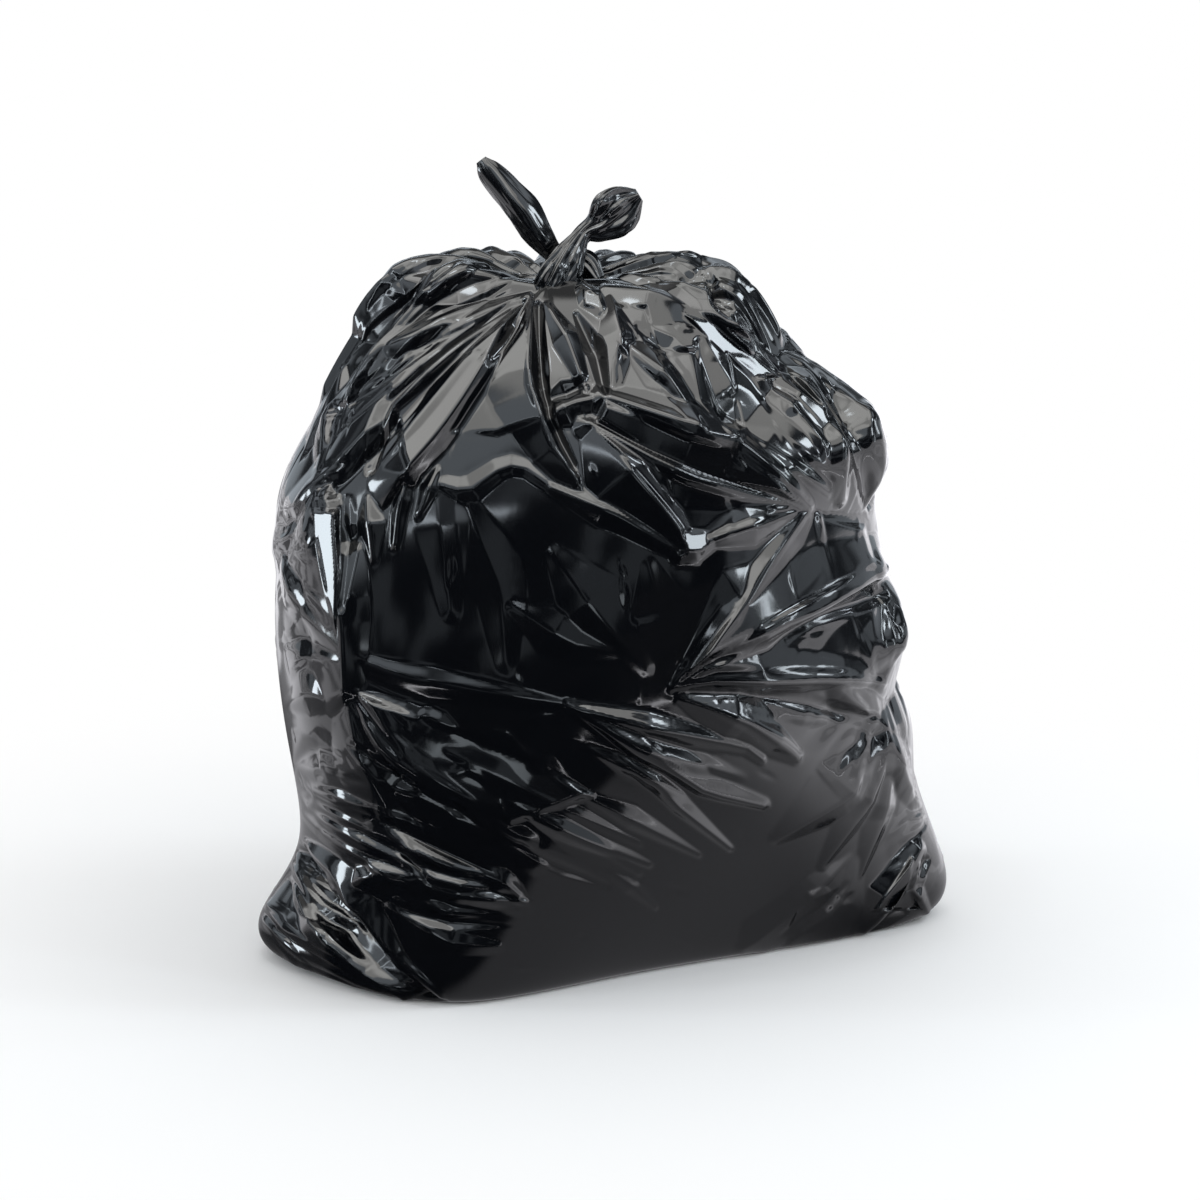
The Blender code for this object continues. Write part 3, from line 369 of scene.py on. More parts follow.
# Gathers: bundles of pleats on the front sheet. Each has two lines, which both start where the
# film is drawn together, the number of pleats that fill the space between them, how steep they
# stand, and a seed.
GATHERS = (
    # the left of the fan under the knot
    (((-0.054, 0.639), (-0.114, 0.646), (-0.181, 0.634)),
     ((-0.053, 0.622), (-0.13, 0.581), (-0.216, 0.519)), 5, 0.35, 1),
    (((-0.053, 0.622), (-0.13, 0.581), (-0.235, 0.494)),
     ((-0.052, 0.608), (-0.121, 0.525), (-0.216, 0.417)), 5, 0.35, 2),
    # the fan on the right flank
    (((0.066, 0.271), (0.135, 0.271), (0.238, 0.252)),
     ((0.075, 0.267), (0.118, 0.245), (0.169, 0.211)), 3, 0.18, 9),
    (((0.243, 0.281), (0.238, 0.348), (0.23, 0.383)),
     ((0.247, 0.278), (0.26, 0.314), (0.26, 0.357)), 2, 0.3, 10),
    (((0.243, 0.278), (0.221, 0.228), (0.161, 0.168)),
     ((0.251, 0.271), (0.268, 0.219), (0.277, 0.176)), 4, 0.18, 11),
    # the long folds that run down from the left corner of what is inside
    (((-0.216, 0.274), (-0.14, 0.258), (-0.037, 0.194)),
     ((-0.214, 0.271), (-0.175, 0.194), (-0.071, 0.125)), 3, 0.16, 12),
    (((-0.14, 0.258), (-0.037, 0.228), (0.049, 0.176)),
     ((-0.175, 0.185), (-0.071, 0.133), (0.032, 0.086)), 3, 0.16, 13),
    (((-0.024, 0.262), (0.049, 0.232), (0.135, 0.211)),
     ((-0.024, 0.258), (0.015, 0.211), (0.101, 0.15)), 3, 0.18, 14),
    # the crushed film low on the left
    (((-0.261, 0.202), (-0.175, 0.176), (-0.071, 0.133)),
     ((-0.261, 0.159), (-0.192, 0.116), (-0.114, 0.073)), 6, 0.3, 15),
    (((-0.192, 0.133), (-0.114, 0.116), (-0.037, 0.107)),
     ((-0.2, 0.09), (-0.132, 0.069), (-0.054, 0.065)), 4, 0.22, 16),
    # the corner that lies out to the left
    (((-0.261, 0.138), (-0.222, 0.116), (-0.207, 0.087)),
     ((-0.273, 0.116), (-0.243, 0.065), (-0.175, 0.017)), 4, 0.4, 17),
    (((-0.293, 0.086), (-0.261, 0.065), (-0.175, 0.017)),
     ((-0.297, 0.065), (-0.261, 0.03), (-0.157, 0.004)), 3, 0.35, 18),
    # the lower right corner
    (((0.231, 0.065), (0.255, 0.099), (0.288, 0.133)),
     ((0.247, 0.06), (0.277, 0.086), (0.294, 0.116)), 3, 0.4, 21),
    (((0.109, 0.047), (0.169, 0.09), (0.23, 0.142)),
     ((0.169, 0.052), (0.221, 0.09), (0.255, 0.133)), 2, 0.2, 22),
)

# Plates: places on the front sheet where the film is pulled flat. Each has its corners, as (across,
# up) on the sheet, the azimuth and elevation that it faces, in degrees, or None for the plane that
# fits it best, how flat it is pulled, where 1 is quite flat, and the width of its soft edge.
PLATES = (
    # the leaf and the kite beside it, under the knot
    (((-0.061, 0.605), (-0.173, 0.513), (-0.167, 0.471), (-0.160, 0.453), (-0.131, 0.488),
      (-0.111, 0.519)), None, 0.6, 0.006),
    (((-0.059, 0.604), (-0.110, 0.519), (-0.093, 0.550)), None, 0.8, 0.003),
    (((-0.058, 0.593), (-0.089, 0.548), (-0.109, 0.519), (-0.128, 0.488), (-0.085, 0.486),
      (-0.047, 0.500), (-0.057, 0.532)), None, 0.5, 0.006),
    # the bright triangle right of the knot
    (((-0.014, 0.615), (0.002, 0.610), (0.003, 0.596), (-0.013, 0.599)), None, 1, 0.0025),
    # the facets of the right shoulder
    (((0.070, 0.594), (0.099, 0.587), (0.156, 0.541), (0.128, 0.537), (0.097, 0.565)),
     None, 1, 0.003),
    (((0.099, 0.587), (0.129, 0.577), (0.170, 0.544), (0.197, 0.510), (0.150, 0.543)),
     None, 0.6, 0.006),
    (((0.015, 0.568), (0.054, 0.534), (0.076, 0.499), (0.007, 0.522)), None, 0.6, 0.006),
    (((0.044, 0.562), (0.085, 0.565), (0.104, 0.503), (0.119, 0.482), (0.090, 0.489)),
     None, 0.6, 0.006),
    (((0.107, 0.563), (0.136, 0.539), (0.170, 0.452), (0.153, 0.457), (0.119, 0.482)),
     None, 0.5, 0.006),
    (((0.010, 0.603), (0.042, 0.601), (0.051, 0.565), (0.019, 0.570)), None, 0.6, 0.006),
    # the long lens and the box at its lower end
    (((0.005, 0.517), (0.073, 0.489), (0.116, 0.477), (0.153, 0.452), (0.173, 0.431),
      (0.112, 0.445), (0.073, 0.456), (0.041, 0.471), (-0.005, 0.498)), None, 0.6, 0.006),
    (((-0.005, 0.494), (0.041, 0.465), (0.073, 0.450), (0.112, 0.439), (0.170, 0.428),
      (0.095, 0.401), (0.078, 0.395), (0.056, 0.422)), None, 0.6, 0.006),
    (((0.068, 0.408), (0.091, 0.408), (0.093, 0.396), (0.087, 0.388), (0.073, 0.388)),
     None, 1, 0.0025),
    # the facets of the right flank
    (((0.071, 0.285), (0.175, 0.424), (0.231, 0.417), (0.241, 0.381), (0.153, 0.333)),
     None, 0.4, 0.006),
    (((0.085, 0.290), (0.170, 0.324), (0.243, 0.353), (0.241, 0.286), (0.194, 0.288)),
     None, 0.5, 0.006),
    (((0.201, 0.283), (0.241, 0.278), (0.250, 0.243)), None, 0.7, 0.004),
    # the white facet on the left edge
    (((-0.245, 0.427), (-0.220, 0.426), (-0.218, 0.374), (-0.221, 0.319), (-0.229, 0.348)),
     (-44, 12), 1, 0.003),
    # the long facets of the lower left
    (((-0.207, 0.274), (-0.153, 0.255), (-0.068, 0.224), (0.000, 0.185), (-0.075, 0.159),
      (-0.155, 0.209), (-0.180, 0.235)), None, 0.6, 0.006),
    (((-0.022, 0.257), (0.034, 0.228), (0.089, 0.194), (0.129, 0.180), (0.085, 0.197),
      (0.034, 0.238)), None, 0.6, 0.006),
    # the corner at the lower right
    (((0.241, 0.078), (0.280, 0.130), (0.277, 0.099), (0.289, 0.078)), None, 0.8, 0.004),
)

# The lobes of the shoulder and the flanks, where what is inside pushes out, laid like the folds
# of the front on the sheets of the two sides.
LOBES = (
    (RIGHT_SHEET, (
        (((-0.12, 0.452), (-0.06, 0.440), (0.0, 0.436), (0.05, 0.428), (0.12, 0.432)),
         0.075, 0.045, 0.038, 0.4, 0.3),
        (((-0.10, 0.590), (0.0, 0.588), (0.10, 0.590)), 0.050, 0.045, 0.017, 0.5, 0.4),
        (((-0.08, 0.262), (-0.02, 0.252), (0.04, 0.260), (0.12, 0.245)),
         0.050, 0.050, 0.012, 0.4, 0.3),
        (((-0.06, 0.172), (0.0, 0.160), (0.05, 0.168), (0.11, 0.155)),
         0.040, 0.050, 0.012, 0.4, 0.3),
    )),
    (LEFT_SHEET, (
        (((-0.12, 0.375), (-0.04, 0.384), (0.03, 0.374), (0.10, 0.388)),
         0.050, 0.050, 0.010, 0.4, 0.4),
    )),
)


def spline_shares(place, count, closed):
    """The share of each control point at each place on a uniform cubic B-spline.

    A place is counted in control points, and its four nearest ones share it by the basis cubics.
    """
    start = np.floor(place).astype(int)
    if not closed:
        start = np.minimum(start, count - 4)
    t = place - start
    basis = (
        (1 - t) ** 3 / 6,
        (3 * t**3 - 6 * t**2 + 4) / 6,
        (-3 * t**3 + 3 * t**2 + 3 * t + 1) / 6,
        t**3 / 6,
    )
    shares = np.zeros((len(place), count))
    for k, share in enumerate(basis):
        point = (start + k - 1) % count if closed else start + k
        shares[np.arange(len(place)), point] += share
    return shares


def control_rings():
    """Every control ring as an array: the flat base, the rings above it, and the neck."""
    foot = np.array(RINGS[0][1])
    middle = foot.mean(axis=0)
    rings = []
    for size in BASE_SIZES:
        flat = middle + (foot - middle) * size
        rings.append(np.column_stack([flat, np.zeros(len(foot))]))
    for height, points in RINGS:
        rings.append(np.column_stack([np.array(points), np.full(len(points), height)]))
    return np.array(rings)


def plain_form(rows, columns):
    """The sack before it is folded: a B-spline loft through the rings, rows x columns points.

    Few of the rows lie under the sack. The columns are moved towards the front by a sine of
    their place round it, so that they stand closer there.
    """
    cage = control_rings()
    count = cage.shape[1]
    share = np.linspace(0, 1, rows)
    wall = BASE_PLACE + (share - BASE_ROWS) / (1 - BASE_ROWS) * (len(cage) - 3 - BASE_PLACE)
    along = np.where(share < BASE_ROWS, share / BASE_ROWS * BASE_PLACE, wall)
    ring = cage[FRONT_RING] - cage[FRONT_RING].mean(axis=0)
    front = np.argmin(np.abs(np.arctan2(ring[:, 0], -ring[:, 1]))) / count
    turn = np.arange(columns) / columns
    turn = turn - FRONT_CROWDING / (2 * math.pi) * np.sin(2 * math.pi * (turn - front))
    up = spline_shares(along, len(cage), closed=False)
    round_it = spline_shares((turn % 1) * count, count, closed=True)
    return np.einsum("ri,ijk,cj->rck", up, cage, round_it)[POLE_ROWS:]


def outward(grid):
    """The unit normal at each point of the grid: the cross product of its two directions."""
    across = np.roll(grid, -1, axis=1) - np.roll(grid, 1, axis=1)
    up = np.gradient(grid, axis=0)
    normal = np.cross(across, up)
    length = np.linalg.norm(normal, axis=-1, keepdims=True)
    return normal / np.maximum(length, 1e-12)


def smooth_step(low, high, value):
    """0 below low, 1 above high, and a smooth rise between them."""
    t = np.clip((value - low) / (high - low), 0.0, 1.0)
    return t * t * (3 - 2 * t)


def curve_through(points, parts):
    """A smooth curve through the points: the Catmull-Rom curve, cut into equal parts."""
    p = np.array(points, float)
    p = np.vstack([2 * p[0] - p[1], p, 2 * p[-1] - p[-2]])
    place = np.linspace(0, len(p) - 3, parts + 1)
    k = np.minimum(place.astype(int), len(p) - 4)
    t = (place - k)[:, None]
    a, b, c, d = p[k], p[k + 1], p[k + 2], p[k + 3]
    return 0.5 * (
        2 * b + (c - a) * t + (2 * a - 5 * b + 4 * c - d) * t**2 + (3 * b - a - 3 * c + d) * t**3
    )


def towards(azimuth, elevation):
    """The unit direction at an azimuth, where 0 is the front, at -Y, and an elevation."""
    level = math.cos(elevation)
    return np.array(
        [math.sin(azimuth) * level, -math.cos(azimuth) * level, math.sin(elevation)]
    )


# ---------------------------------------------------------------- folds


class Fold(NamedTuple):
    """A fold on a sheet: its ridge line, and at each point of it its flanks and its height."""

    line: np.ndarray
    left: np.ndarray
    right: np.ndarray
    height: np.ndarray


def straight_line(points, parts):
    """The line through the points, straight from each to the next, cut into parts by length."""
    p = np.array(points, float)
    run = np.concatenate([[0], np.cumsum(np.linalg.norm(np.diff(p, axis=0), axis=1))])
    place = np.linspace(0, run[-1], parts + 1)
    return np.column_stack([np.interp(place, run, p[:, 0]), np.interp(place, run, p[:, 1])])


def hand_laid(table, size=(1, 1)):
    """The folds of a table, in a size across and out of the surface.

    Each widens evenly from its first share to full size and narrows evenly to its last, so that
    its flanks have straight feet.
    """
    across, out = size
    t = np.linspace(0, 1, PARTS + 1)
    folds = []
    for points, left, right, height, first, last in table:
        share = np.interp(t, (0, FULLEST, 1), (first, 1, last))
        line = straight_line(points, PARTS)
        folds.append(
            Fold(line, left * across * share, right * across * share, height * out * share)
        )
    return folds


def gathered_pleats():
    """The pleats of the gathers: lines spread between two others, as wide as the room for each.

    Most stand up and one in four is pressed in. Each starts and ends where chance says, and one
    of its flanks is steeper than the other.
    """
    t = np.linspace(0, 1, PARTS + 1)
    lean = np.linspace(-GATHER_LEAN, GATHER_LEAN, PARTS + 1)
    folds = []
    for one, other, count, steepness, seed in GATHERS:
        chance = np.random.default_rng(seed)
        one, other = straight_line(one, PARTS), straight_line(other, PARTS)
        room = np.linalg.norm(other - one, axis=1) / count
        for k in range(count):
            share = (k + 0.5 + chance.uniform(-GATHER_STRAY, GATHER_STRAY)) / count
            share = share + chance.uniform(-1, 1) * lean / count
            line = one * (1 - share)[:, None] + other * share[:, None]
            begin = max(0.0, chance.uniform(*GATHER_START))
            end = min(1.0, 1 + chance.uniform(*GATHER_END))
            rise = (t - begin) / GATHER_RISE + (GATHER_HEAD_START if begin <= 0 else 0.0)
            size = np.clip(np.minimum(rise, (end - t) / GATHER_FALL), 0, 1)
            left = chance.uniform(*GATHER_SHARE)
            width = room * chance.uniform(*GATHER_WIDTH)
            sign = -1 if chance.random() < GATHER_PRESSED else 1
            tall = sign * steepness * chance.uniform(*GATHER_HEIGHT)
            height = tall * np.minimum(width, GATHER_BROADEST) * size
            width = width * np.maximum(size, 0.25)
            folds.append(Fold(line, width * left, width * (1 - left), height))
    return folds


def companions(leaders, seed):
    """Smaller folds that run beside the others, as film gathers in bundles.

    Each keeps to a part of its leader's line, moved across it by about a flank, and is a quarter
    to a half of its size.
    """
    chance = np.random.default_rng(seed)
    t = np.linspace(0, 1, PARTS + 1)
    folds = []
    for line, left, right, height in leaders:
        run = np.gradient(line, axis=0)
        run /= np.linalg.norm(run, axis=1, keepdims=True) + 1e-9
        beside = np.column_stack([-run[:, 1], run[:, 0]])
        for _ in range(COMPANIONS):
            way = chance.choice([-1, 1])
            spread = np.linspace(chance.uniform(0.3, 1.0), 1.1, PARTS + 1)
            away = chance.uniform(*COMPANION_AWAY) * spread
            bent = line + beside * (way * (left if way > 0 else right) * away)[:, None]
            begin = chance.uniform(*COMPANION_START)
            end = min(1.0, begin + chance.uniform(*COMPANION_LENGTH))
            rise, fall = (t - begin) / COMPANION_RISE, (end - t) / COMPANION_FALL
            size = np.clip(np.minimum(rise, fall), 0, 1)
            scale = chance.uniform(*COMPANION_SIZE)
            flank = np.maximum(scale * (left + right) / 2, COMPANION_LEAST[0])
            width = 2 * flank * np.maximum(size, 0.2)
            tall = np.maximum(0.9 * scale * np.abs(height), COMPANION_LEAST[1])
            tall = chance.choice([1, -1]) * tall * size
            share = chance.uniform(*COMPANION_SHARE)
            folds.append(Fold(bent, width * share, width * (1 - share), tall))
    return folds


def made_up_fold(chance, start, turn, length, bow, width, height, shares):
    """A slightly bowed fold that leaves its start at a turn from straight down the sheet."""
    out = np.array([math.sin(turn), -math.cos(turn)])
    end = start + out * length
    middle = (start + end) / 2 + chance.uniform(-bow, bow, 2)
    return ((start, middle, end), width, 1.25 * width, height, *shares)


def shoulder_pleats():
    """Pleats on the top sheet, which run out from the neck, over the shoulders and down."""
    chance = np.random.default_rng(PLEAT_SEED)
    folds = []
    for k, turn in enumerate(np.linspace(-PLEAT_SPREAD, PLEAT_SPREAD, PLEATS)):
        turn += math.pi + chance.uniform(-PLEAT_STRAY, PLEAT_STRAY)
        start = np.array(NECK) + NECK_SIZE * np.array([math.sin(turn), -math.cos(turn)])
        length = chance.uniform(*PLEAT_LENGTH)
        width = chance.uniform(*PLEAT_WIDTH)
        height = PLEAT_HEIGHTS[k % 2] * width
        folds.append(
            made_up_fold(chance, start, turn, length, PLEAT_BOW, width, height, PLEAT_SHARES)
        )
    return folds


def side_folds(seed):
    """The long folds and the small ones of a side of the sack."""
    chance = np.random.default_rng(seed)
    folds = []
    for kind in (LONG_FOLDS, SMALL_FOLDS):
        for _ in range(kind.count):
            start = np.array([chance.uniform(*kind.across), chance.uniform(*kind.up)])
            turn = chance.choice([-1, 1]) * chance.uniform(*kind.turn)
            length = chance.uniform(*kind.length)
            width = chance.uniform(*kind.width)
            height = chance.choice(kind.signs) * chance.uniform(*kind.height)
            folds.append(
                made_up_fold(chance, start, turn, length, kind.bow, width, height, kind.shares)
            )
    return folds


def small_creases(leaders, seed, count, taut=()):
    """The finest creases, scattered over a sheet, each roughly along the fold nearest to it.

    Few fall in the taut places, which are circles on the sheet: x, y and radius.
    """
    chance = np.random.default_rng(seed)
    places = np.concatenate([fold.line for fold in leaders])
    runs = np.concatenate([np.gradient(fold.line, axis=0) for fold in leaders])
    size = np.array(CREASE_SIZE)
    folds = []
    while len(folds) < count:
        place = chance.uniform(*CREASE_AREA)
        smooth = any(math.hypot(place[0] - x, place[1] - y) < r for x, y, r in taut)
        if smooth and chance.random() > STRAYS:
            continue
        run = runs[np.argmin(((places - place) ** 2).sum(axis=1))]
        turn = math.atan2(run[1], run[0]) + chance.normal(0, CREASE_TURN)
        run = np.array([math.cos(turn), math.sin(turn)]) * chance.uniform(*CREASE_REACH)
        bow = np.array([-run[1], run[0]]) * chance.normal(0, CREASE_BOW)
        line = curve_through((place - run, place + bow, place + run), len(size) - 1)
        width = chance.uniform(*CREASE_WIDTH)
        height = chance.choice([1, -1]) * width * chance.uniform(*CREASE_STEEPNESS) * size
        flank = width * np.maximum(size, 0.3)
        folds.append(Fold(line, flank, 1.2 * flank, height))
    return folds


# ---------------------------------------------------------------- the folded body


def fold_height(place, fold, ridge):
    """How high a fold stands at each place on its sheet.

    Across its line a fold is a tent with a slightly rounded ridge, which falls off evenly to
    nothing at the edge of each flank. Its flanks and height at a place are those of the nearest
    point on its line.
    """
    nearest = np.full(len(place), np.inf)
    side = np.zeros(len(place))
    along = np.zeros(len(place))
    for k in range(len(fold.line) - 1):
        start = fold.line[k]
        step = fold.line[k + 1] - start
        away = place - start
        t = np.clip(away @ step / (step @ step + 1e-12), 0.0, 1.0)
        miss = away - t[:, None] * step
        distance = np.hypot(miss[:, 0], miss[:, 1])
        closer = distance < nearest
        nearest = np.where(closer, distance, nearest)
        side = np.where(closer, step[0] * away[:, 1] - step[1] * away[:, 0], side)
        along = np.where(closer, k + t, along)
    stations = np.arange(len(fold.line))
    left = np.interp(along, stations, fold.left)
    right = np.interp(along, stations, fold.right)
    flank = np.maximum(np.where(side > 0, left, right), 1e-4)
    rounded = np.sqrt(nearest**2 + ridge**2) - ridge
    return np.interp(along, stations, fold.height) * np.maximum(0.0, 1 - rounded / flank)


def sheet_axes(sheet):
    """The directions of a sheet: the one it faces, the one across it and the one up it."""
    s, c = math.sin(sheet.azimuth), math.cos(sheet.azimuth)
    across = np.array([c, s, 0.0])
    up = np.array([-s * math.sin(sheet.lean), c * math.sin(sheet.lean), math.cos(sheet.lean)])
    return towards(sheet.azimuth, sheet.lean), across, up


def on_sheet(points, sheet):
    """Where each point lies on a sheet: how far across it and how far up it."""
    _, across, up = sheet_axes(sheet)
    foot = towards(sheet.azimuth, 0) * sheet.foot
    return np.stack([points @ across, (points - foot) @ up], axis=-1)


def raised(plain, normal, sheet, folds, ridge):
    """How far each point moves out for the folds of one sheet.

    The height is that of the highest fold there, with that of the deepest one taken off it, so
    that the flanks of neighbours meet in a sharp line. The rounding of its ridge takes a fold's
    foot a little past its flank, by less than the rounding itself.
    """
    facing = FRONT_FACING if sheet.azimuth == 0 else SIDE_FACING
    seen = smooth_step(*facing, normal @ sheet_axes(sheet)[0])
    here = np.nonzero(seen > 0)
    place = on_sheet(plain[here], sheet)
    highest = np.zeros(len(place))
    deepest = np.zeros(len(place))
    for fold in folds:
        reach = max(fold.left.max(), fold.right.max()) + ridge
        low, high = fold.line.min(axis=0) - reach, fold.line.max(axis=0) + reach
        near = np.nonzero(np.all((place > low) & (place < high), axis=1))[0]
        height = fold_height(place[near], fold, ridge)
        if fold.height.sum() > 0:
            highest[near] = np.maximum(highest[near], height)
        else:
            deepest[near] = np.minimum(deepest[near], height)
    total = np.zeros(plain.shape[:2])
    total[here] = (highest + deepest) * seen[here]
    return total


def eased(height):
    """The heights after one pass of the weights 1, 2, 1 in both directions."""
    height = (np.roll(height, 1, axis=1) + 2 * height + np.roll(height, -1, axis=1)) / 4
    more = np.concatenate([height[:1], height, height[-1:]])
    return (more[:-2] + 2 * more[1:-1] + more[2:]) / 4


def inside_by(place, corners):
    """How far inside a polygon each place lies, by its nearest side, and 0 outside it."""
    corners = np.array(corners)
    nearest = np.full(len(place), np.inf)
    within = np.zeros(len(place), bool)
    for start, end in zip(corners, np.roll(corners, -1, axis=0)):
        step, away = end - start, place - start
        t = np.clip(away @ step / (step @ step), 0, 1)
        nearest = np.minimum(nearest, np.hypot(*(away - t[:, None] * step).T))
        crosses = (start[1] > place[:, 1]) != (end[1] > place[:, 1])
        level = start[0] + (place[:, 1] - start[1]) * step[0] / (step[1] or 1e-9)
        within ^= crosses & (place[:, 0] < level)
    return np.where(within, nearest, 0)


def plane_at(place, out, share, facing):
    """How far out of the front sheet a plate's plane stands at each place.

    The plane fits the film best, by least squares, where each point counts for its share. Where
    the plate is to face a way of its own, the plane is tilted to it about its middle.
    """
    middle = (place * share[:, None]).sum(axis=0) / share.sum()
    terms = np.column_stack([np.ones(len(place)), place - middle])
    plane = np.linalg.lstsq(terms * share[:, None], out * share, rcond=None)[0]
    if facing:
        faces, across, up = sheet_axes(FRONT_SHEET)
        aim = towards(*np.radians(facing))
        plane[1:] = -(aim @ across) / (aim @ faces), -(aim @ up) / (aim @ faces)
    return terms @ plane


def pulled_flat(shape):
    """The film with each plate drawn towards its plane, inside the edge along its sides.

    The points move straight out of or into the front sheet.
    """
    faces = sheet_axes(FRONT_SHEET)[0]
    seen = np.nonzero(outward(shape) @ faces > PLATE_FACING)
    points = shape[seen]
    place = on_sheet(points, FRONT_SHEET)
    out = points @ faces
    for corners, facing, flatness, edge in PLATES:
        low, high = np.min(corners, axis=0), np.max(corners, axis=0)
        near = np.nonzero(np.all((place > low) & (place < high), axis=1))[0]
        share = smooth_step(0, edge, inside_by(place[near], corners))
        flat = plane_at(place[near], out[near], share, facing)
        out[near] += flatness * share * (flat - out[near])
    shape = shape.copy()
    shape[seen] = points + faces * (out - points @ faces)[:, None]
    return shape


def fold_layers():
    """The three layers of folds, each a list of sheets with their folds."""
    front = hand_laid(FRONT_FOLDS)
    pleats = gathered_pleats()
    top = hand_laid(shoulder_pleats(), TOP_SIZE)
    sides = [(sheet, hand_laid(side_folds(seed), SIDE_SIZE)) for sheet, seed in OTHER_SIDES]
    second = [(FRONT_SHEET, pleats), (TOP_SHEET, companions(top, TOP_COMPANION_SEED))]
    finest = [(FRONT_SHEET, small_creases(front + pleats, FRONT_CREASE_SEED, FRONT_CREASES, TAUT))]
    for k, (sheet, folds) in enumerate(sides):
        second.append((sheet, companions(folds, SIDE_COMPANION_SEED + k)))
        finest.append((sheet, small_creases(folds, SIDE_CREASE_SEED + k, SIDE_CREASES)))
    return [(FRONT_SHEET, front), (TOP_SHEET, top), *sides], second, finest


def with_lobes(plain, depth):
    """The plain form with its lobes raised, all by their heights on the form without them."""
    normal = outward(plain)
    lobes = [(sheet, hand_laid(table)) for sheet, table in LOBES]
    bulge = sum(raised(plain, normal, sheet, folds, LOBE_RIDGE) for sheet, folds in lobes)
    return plain + normal * (depth * bulge)[..., None]


def body_form(rows, columns, depth):
    """The finished film of the body, from the middle of its base to the top of its neck.

    Each of the three layers of folds moves the points along the normals of the layer before it,
    and the plates are pulled flat before the last one.
    """
    plain = with_lobes(plain_form(rows, columns), depth)
    normal = outward(plain)
    layers = fold_layers()
    shape = plain
    for ridge, sheets in zip(RIDGES, layers):
        if sheets is layers[-1]:
            shape = pulled_flat(shape)
        height = sum(raised(plain, normal, sheet, folds, ridge) for sheet, folds in sheets)
        shape = shape + outward(shape) * (depth * eased(height))[..., None]
    shape[..., 2] = np.maximum(shape[..., 2], 0)
    return shape[SPARE_ROWS:]


# ---------------------------------------------------------------- the knot and the ears

# Each gathered corner of the mouth: the curve it follows, then at even steps along it half its
# width, half its thickness and its curl, then the direction of its width, how many pleats it has,
# how deep they are, how crumpled it is and its seed.
LEFT_EAR = (
    ((-0.1010, 0.004, 0.6945), (-0.0945, 0.002, 0.686), (-0.081, -0.002, 0.670),
     (-0.064, -0.008, 0.649), (-0.049, -0.011, 0.629), (-0.038, -0.004, 0.615),
     (-0.024, 0.002, 0.610), (-0.010, 0.000, 0.604), (0.000, -0.008, 0.592)),
    ((0.0045, 0.0014, 0.000), (0.0100, 0.0024, -0.004), (0.0130, 0.0030, -0.009),
     (0.0140, 0.0034, -0.010), (0.0118, 0.0050, -0.007), (0.0095, 0.0070, -0.002),
     (0.0100, 0.0080, 0.000), (0.0115, 0.0080, 0.000), (0.0060, 0.0050, 0.000)),
    (0.78, 0.00, 0.62), 5, 0.08, 0.05, 11,
)
RIGHT_EAR = (
    ((0.0345, 0.006, 0.664), (0.0230, 0.005, 0.657), (0.0100, 0.001, 0.647),
     (-0.0015, -0.003, 0.639), (-0.0125, -0.008, 0.634), (-0.0190, -0.013, 0.626),
     (-0.0237, -0.019, 0.6155), (-0.0280, -0.025, 0.6047), (-0.0315, -0.030, 0.595),
     (-0.0330, -0.030, 0.586), (-0.0330, -0.022, 0.577)),
    ((0.0060, 0.0040, 0.0), (0.0175, 0.0110, 0.004), (0.0195, 0.0150, 0.006),
     (0.0140, 0.0120, 0.002), (0.0085, 0.0080, 0.0), (0.0095, 0.0085, 0.0),
     (0.0150, 0.0100, 0.001), (0.0190, 0.0115, 0.002), (0.0205, 0.0125, 0.002),
     (0.0180, 0.0110, 0.0), (0.0090, 0.0070, 0.0)),
    (0.62, 0.25, -0.74), 7, 0.10, 0.10, 12,
)
EAR_STEPS, EAR_POINTS = 170, 140  # sections along an ear, and points round each
THINNEST = 2e-4  # the least half width and half thickness of a section
DRIFT, BROAD_CRUMPLES, FINE_CRUMPLES = (26, 40), (13, 11), (6, 5)  # their waves, in grid points


def wander(chance, rows, columns, waves):
    """Smooth chance waves on a grid that wraps round its columns, with a spread of 1.

    Chance numbers are filtered by a bell curve in both directions, through their spectrum. The
    waves are the widths of the two bells, in rows and columns.
    """
    noise = chance.normal(0, 1, (2 * rows, columns))
    down = np.fft.fftfreq(2 * rows)[:, None] * waves[0]
    along = np.fft.fftfreq(columns)[None, :] * waves[1]
    bell = np.exp(-2 * math.pi**2 * (down**2 + along**2))
    smooth = np.real(np.fft.ifft2(np.fft.fft2(noise) * bell))[:rows]
    return smooth / smooth.std()


def saw(turn):
    """A wave of straight flanks between -1 and 1, with sharp tops: the arcsine of the sine."""
    return 2 / math.pi * np.arcsin(np.sin(turn))


def section_radius(pleats, depth, crumple, seed):
    """The radius of each section of an ear round its ellipse, where 1 is the plain ellipse.

    It rises and falls by two sharp waves round it, the pleats, and by smooth chance waves, the
    crumples.
    """
    chance = np.random.default_rng(seed)
    angle = 2 * math.pi * np.arange(EAR_POINTS)[None, :] / EAR_POINTS
    drift = 1.2 * wander(chance, EAR_STEPS, EAR_POINTS, DRIFT)
    radius = 1 + depth * saw(pleats * angle + drift)
    radius += 0.5 * depth * saw((2 * pleats + 1) * angle - 1.7 * drift)
    radius += crumple * wander(chance, EAR_STEPS, EAR_POINTS, BROAD_CRUMPLES)
    radius += 0.4 * crumple * wander(chance, EAR_STEPS, EAR_POINTS, FINE_CRUMPLES)
    return angle, radius


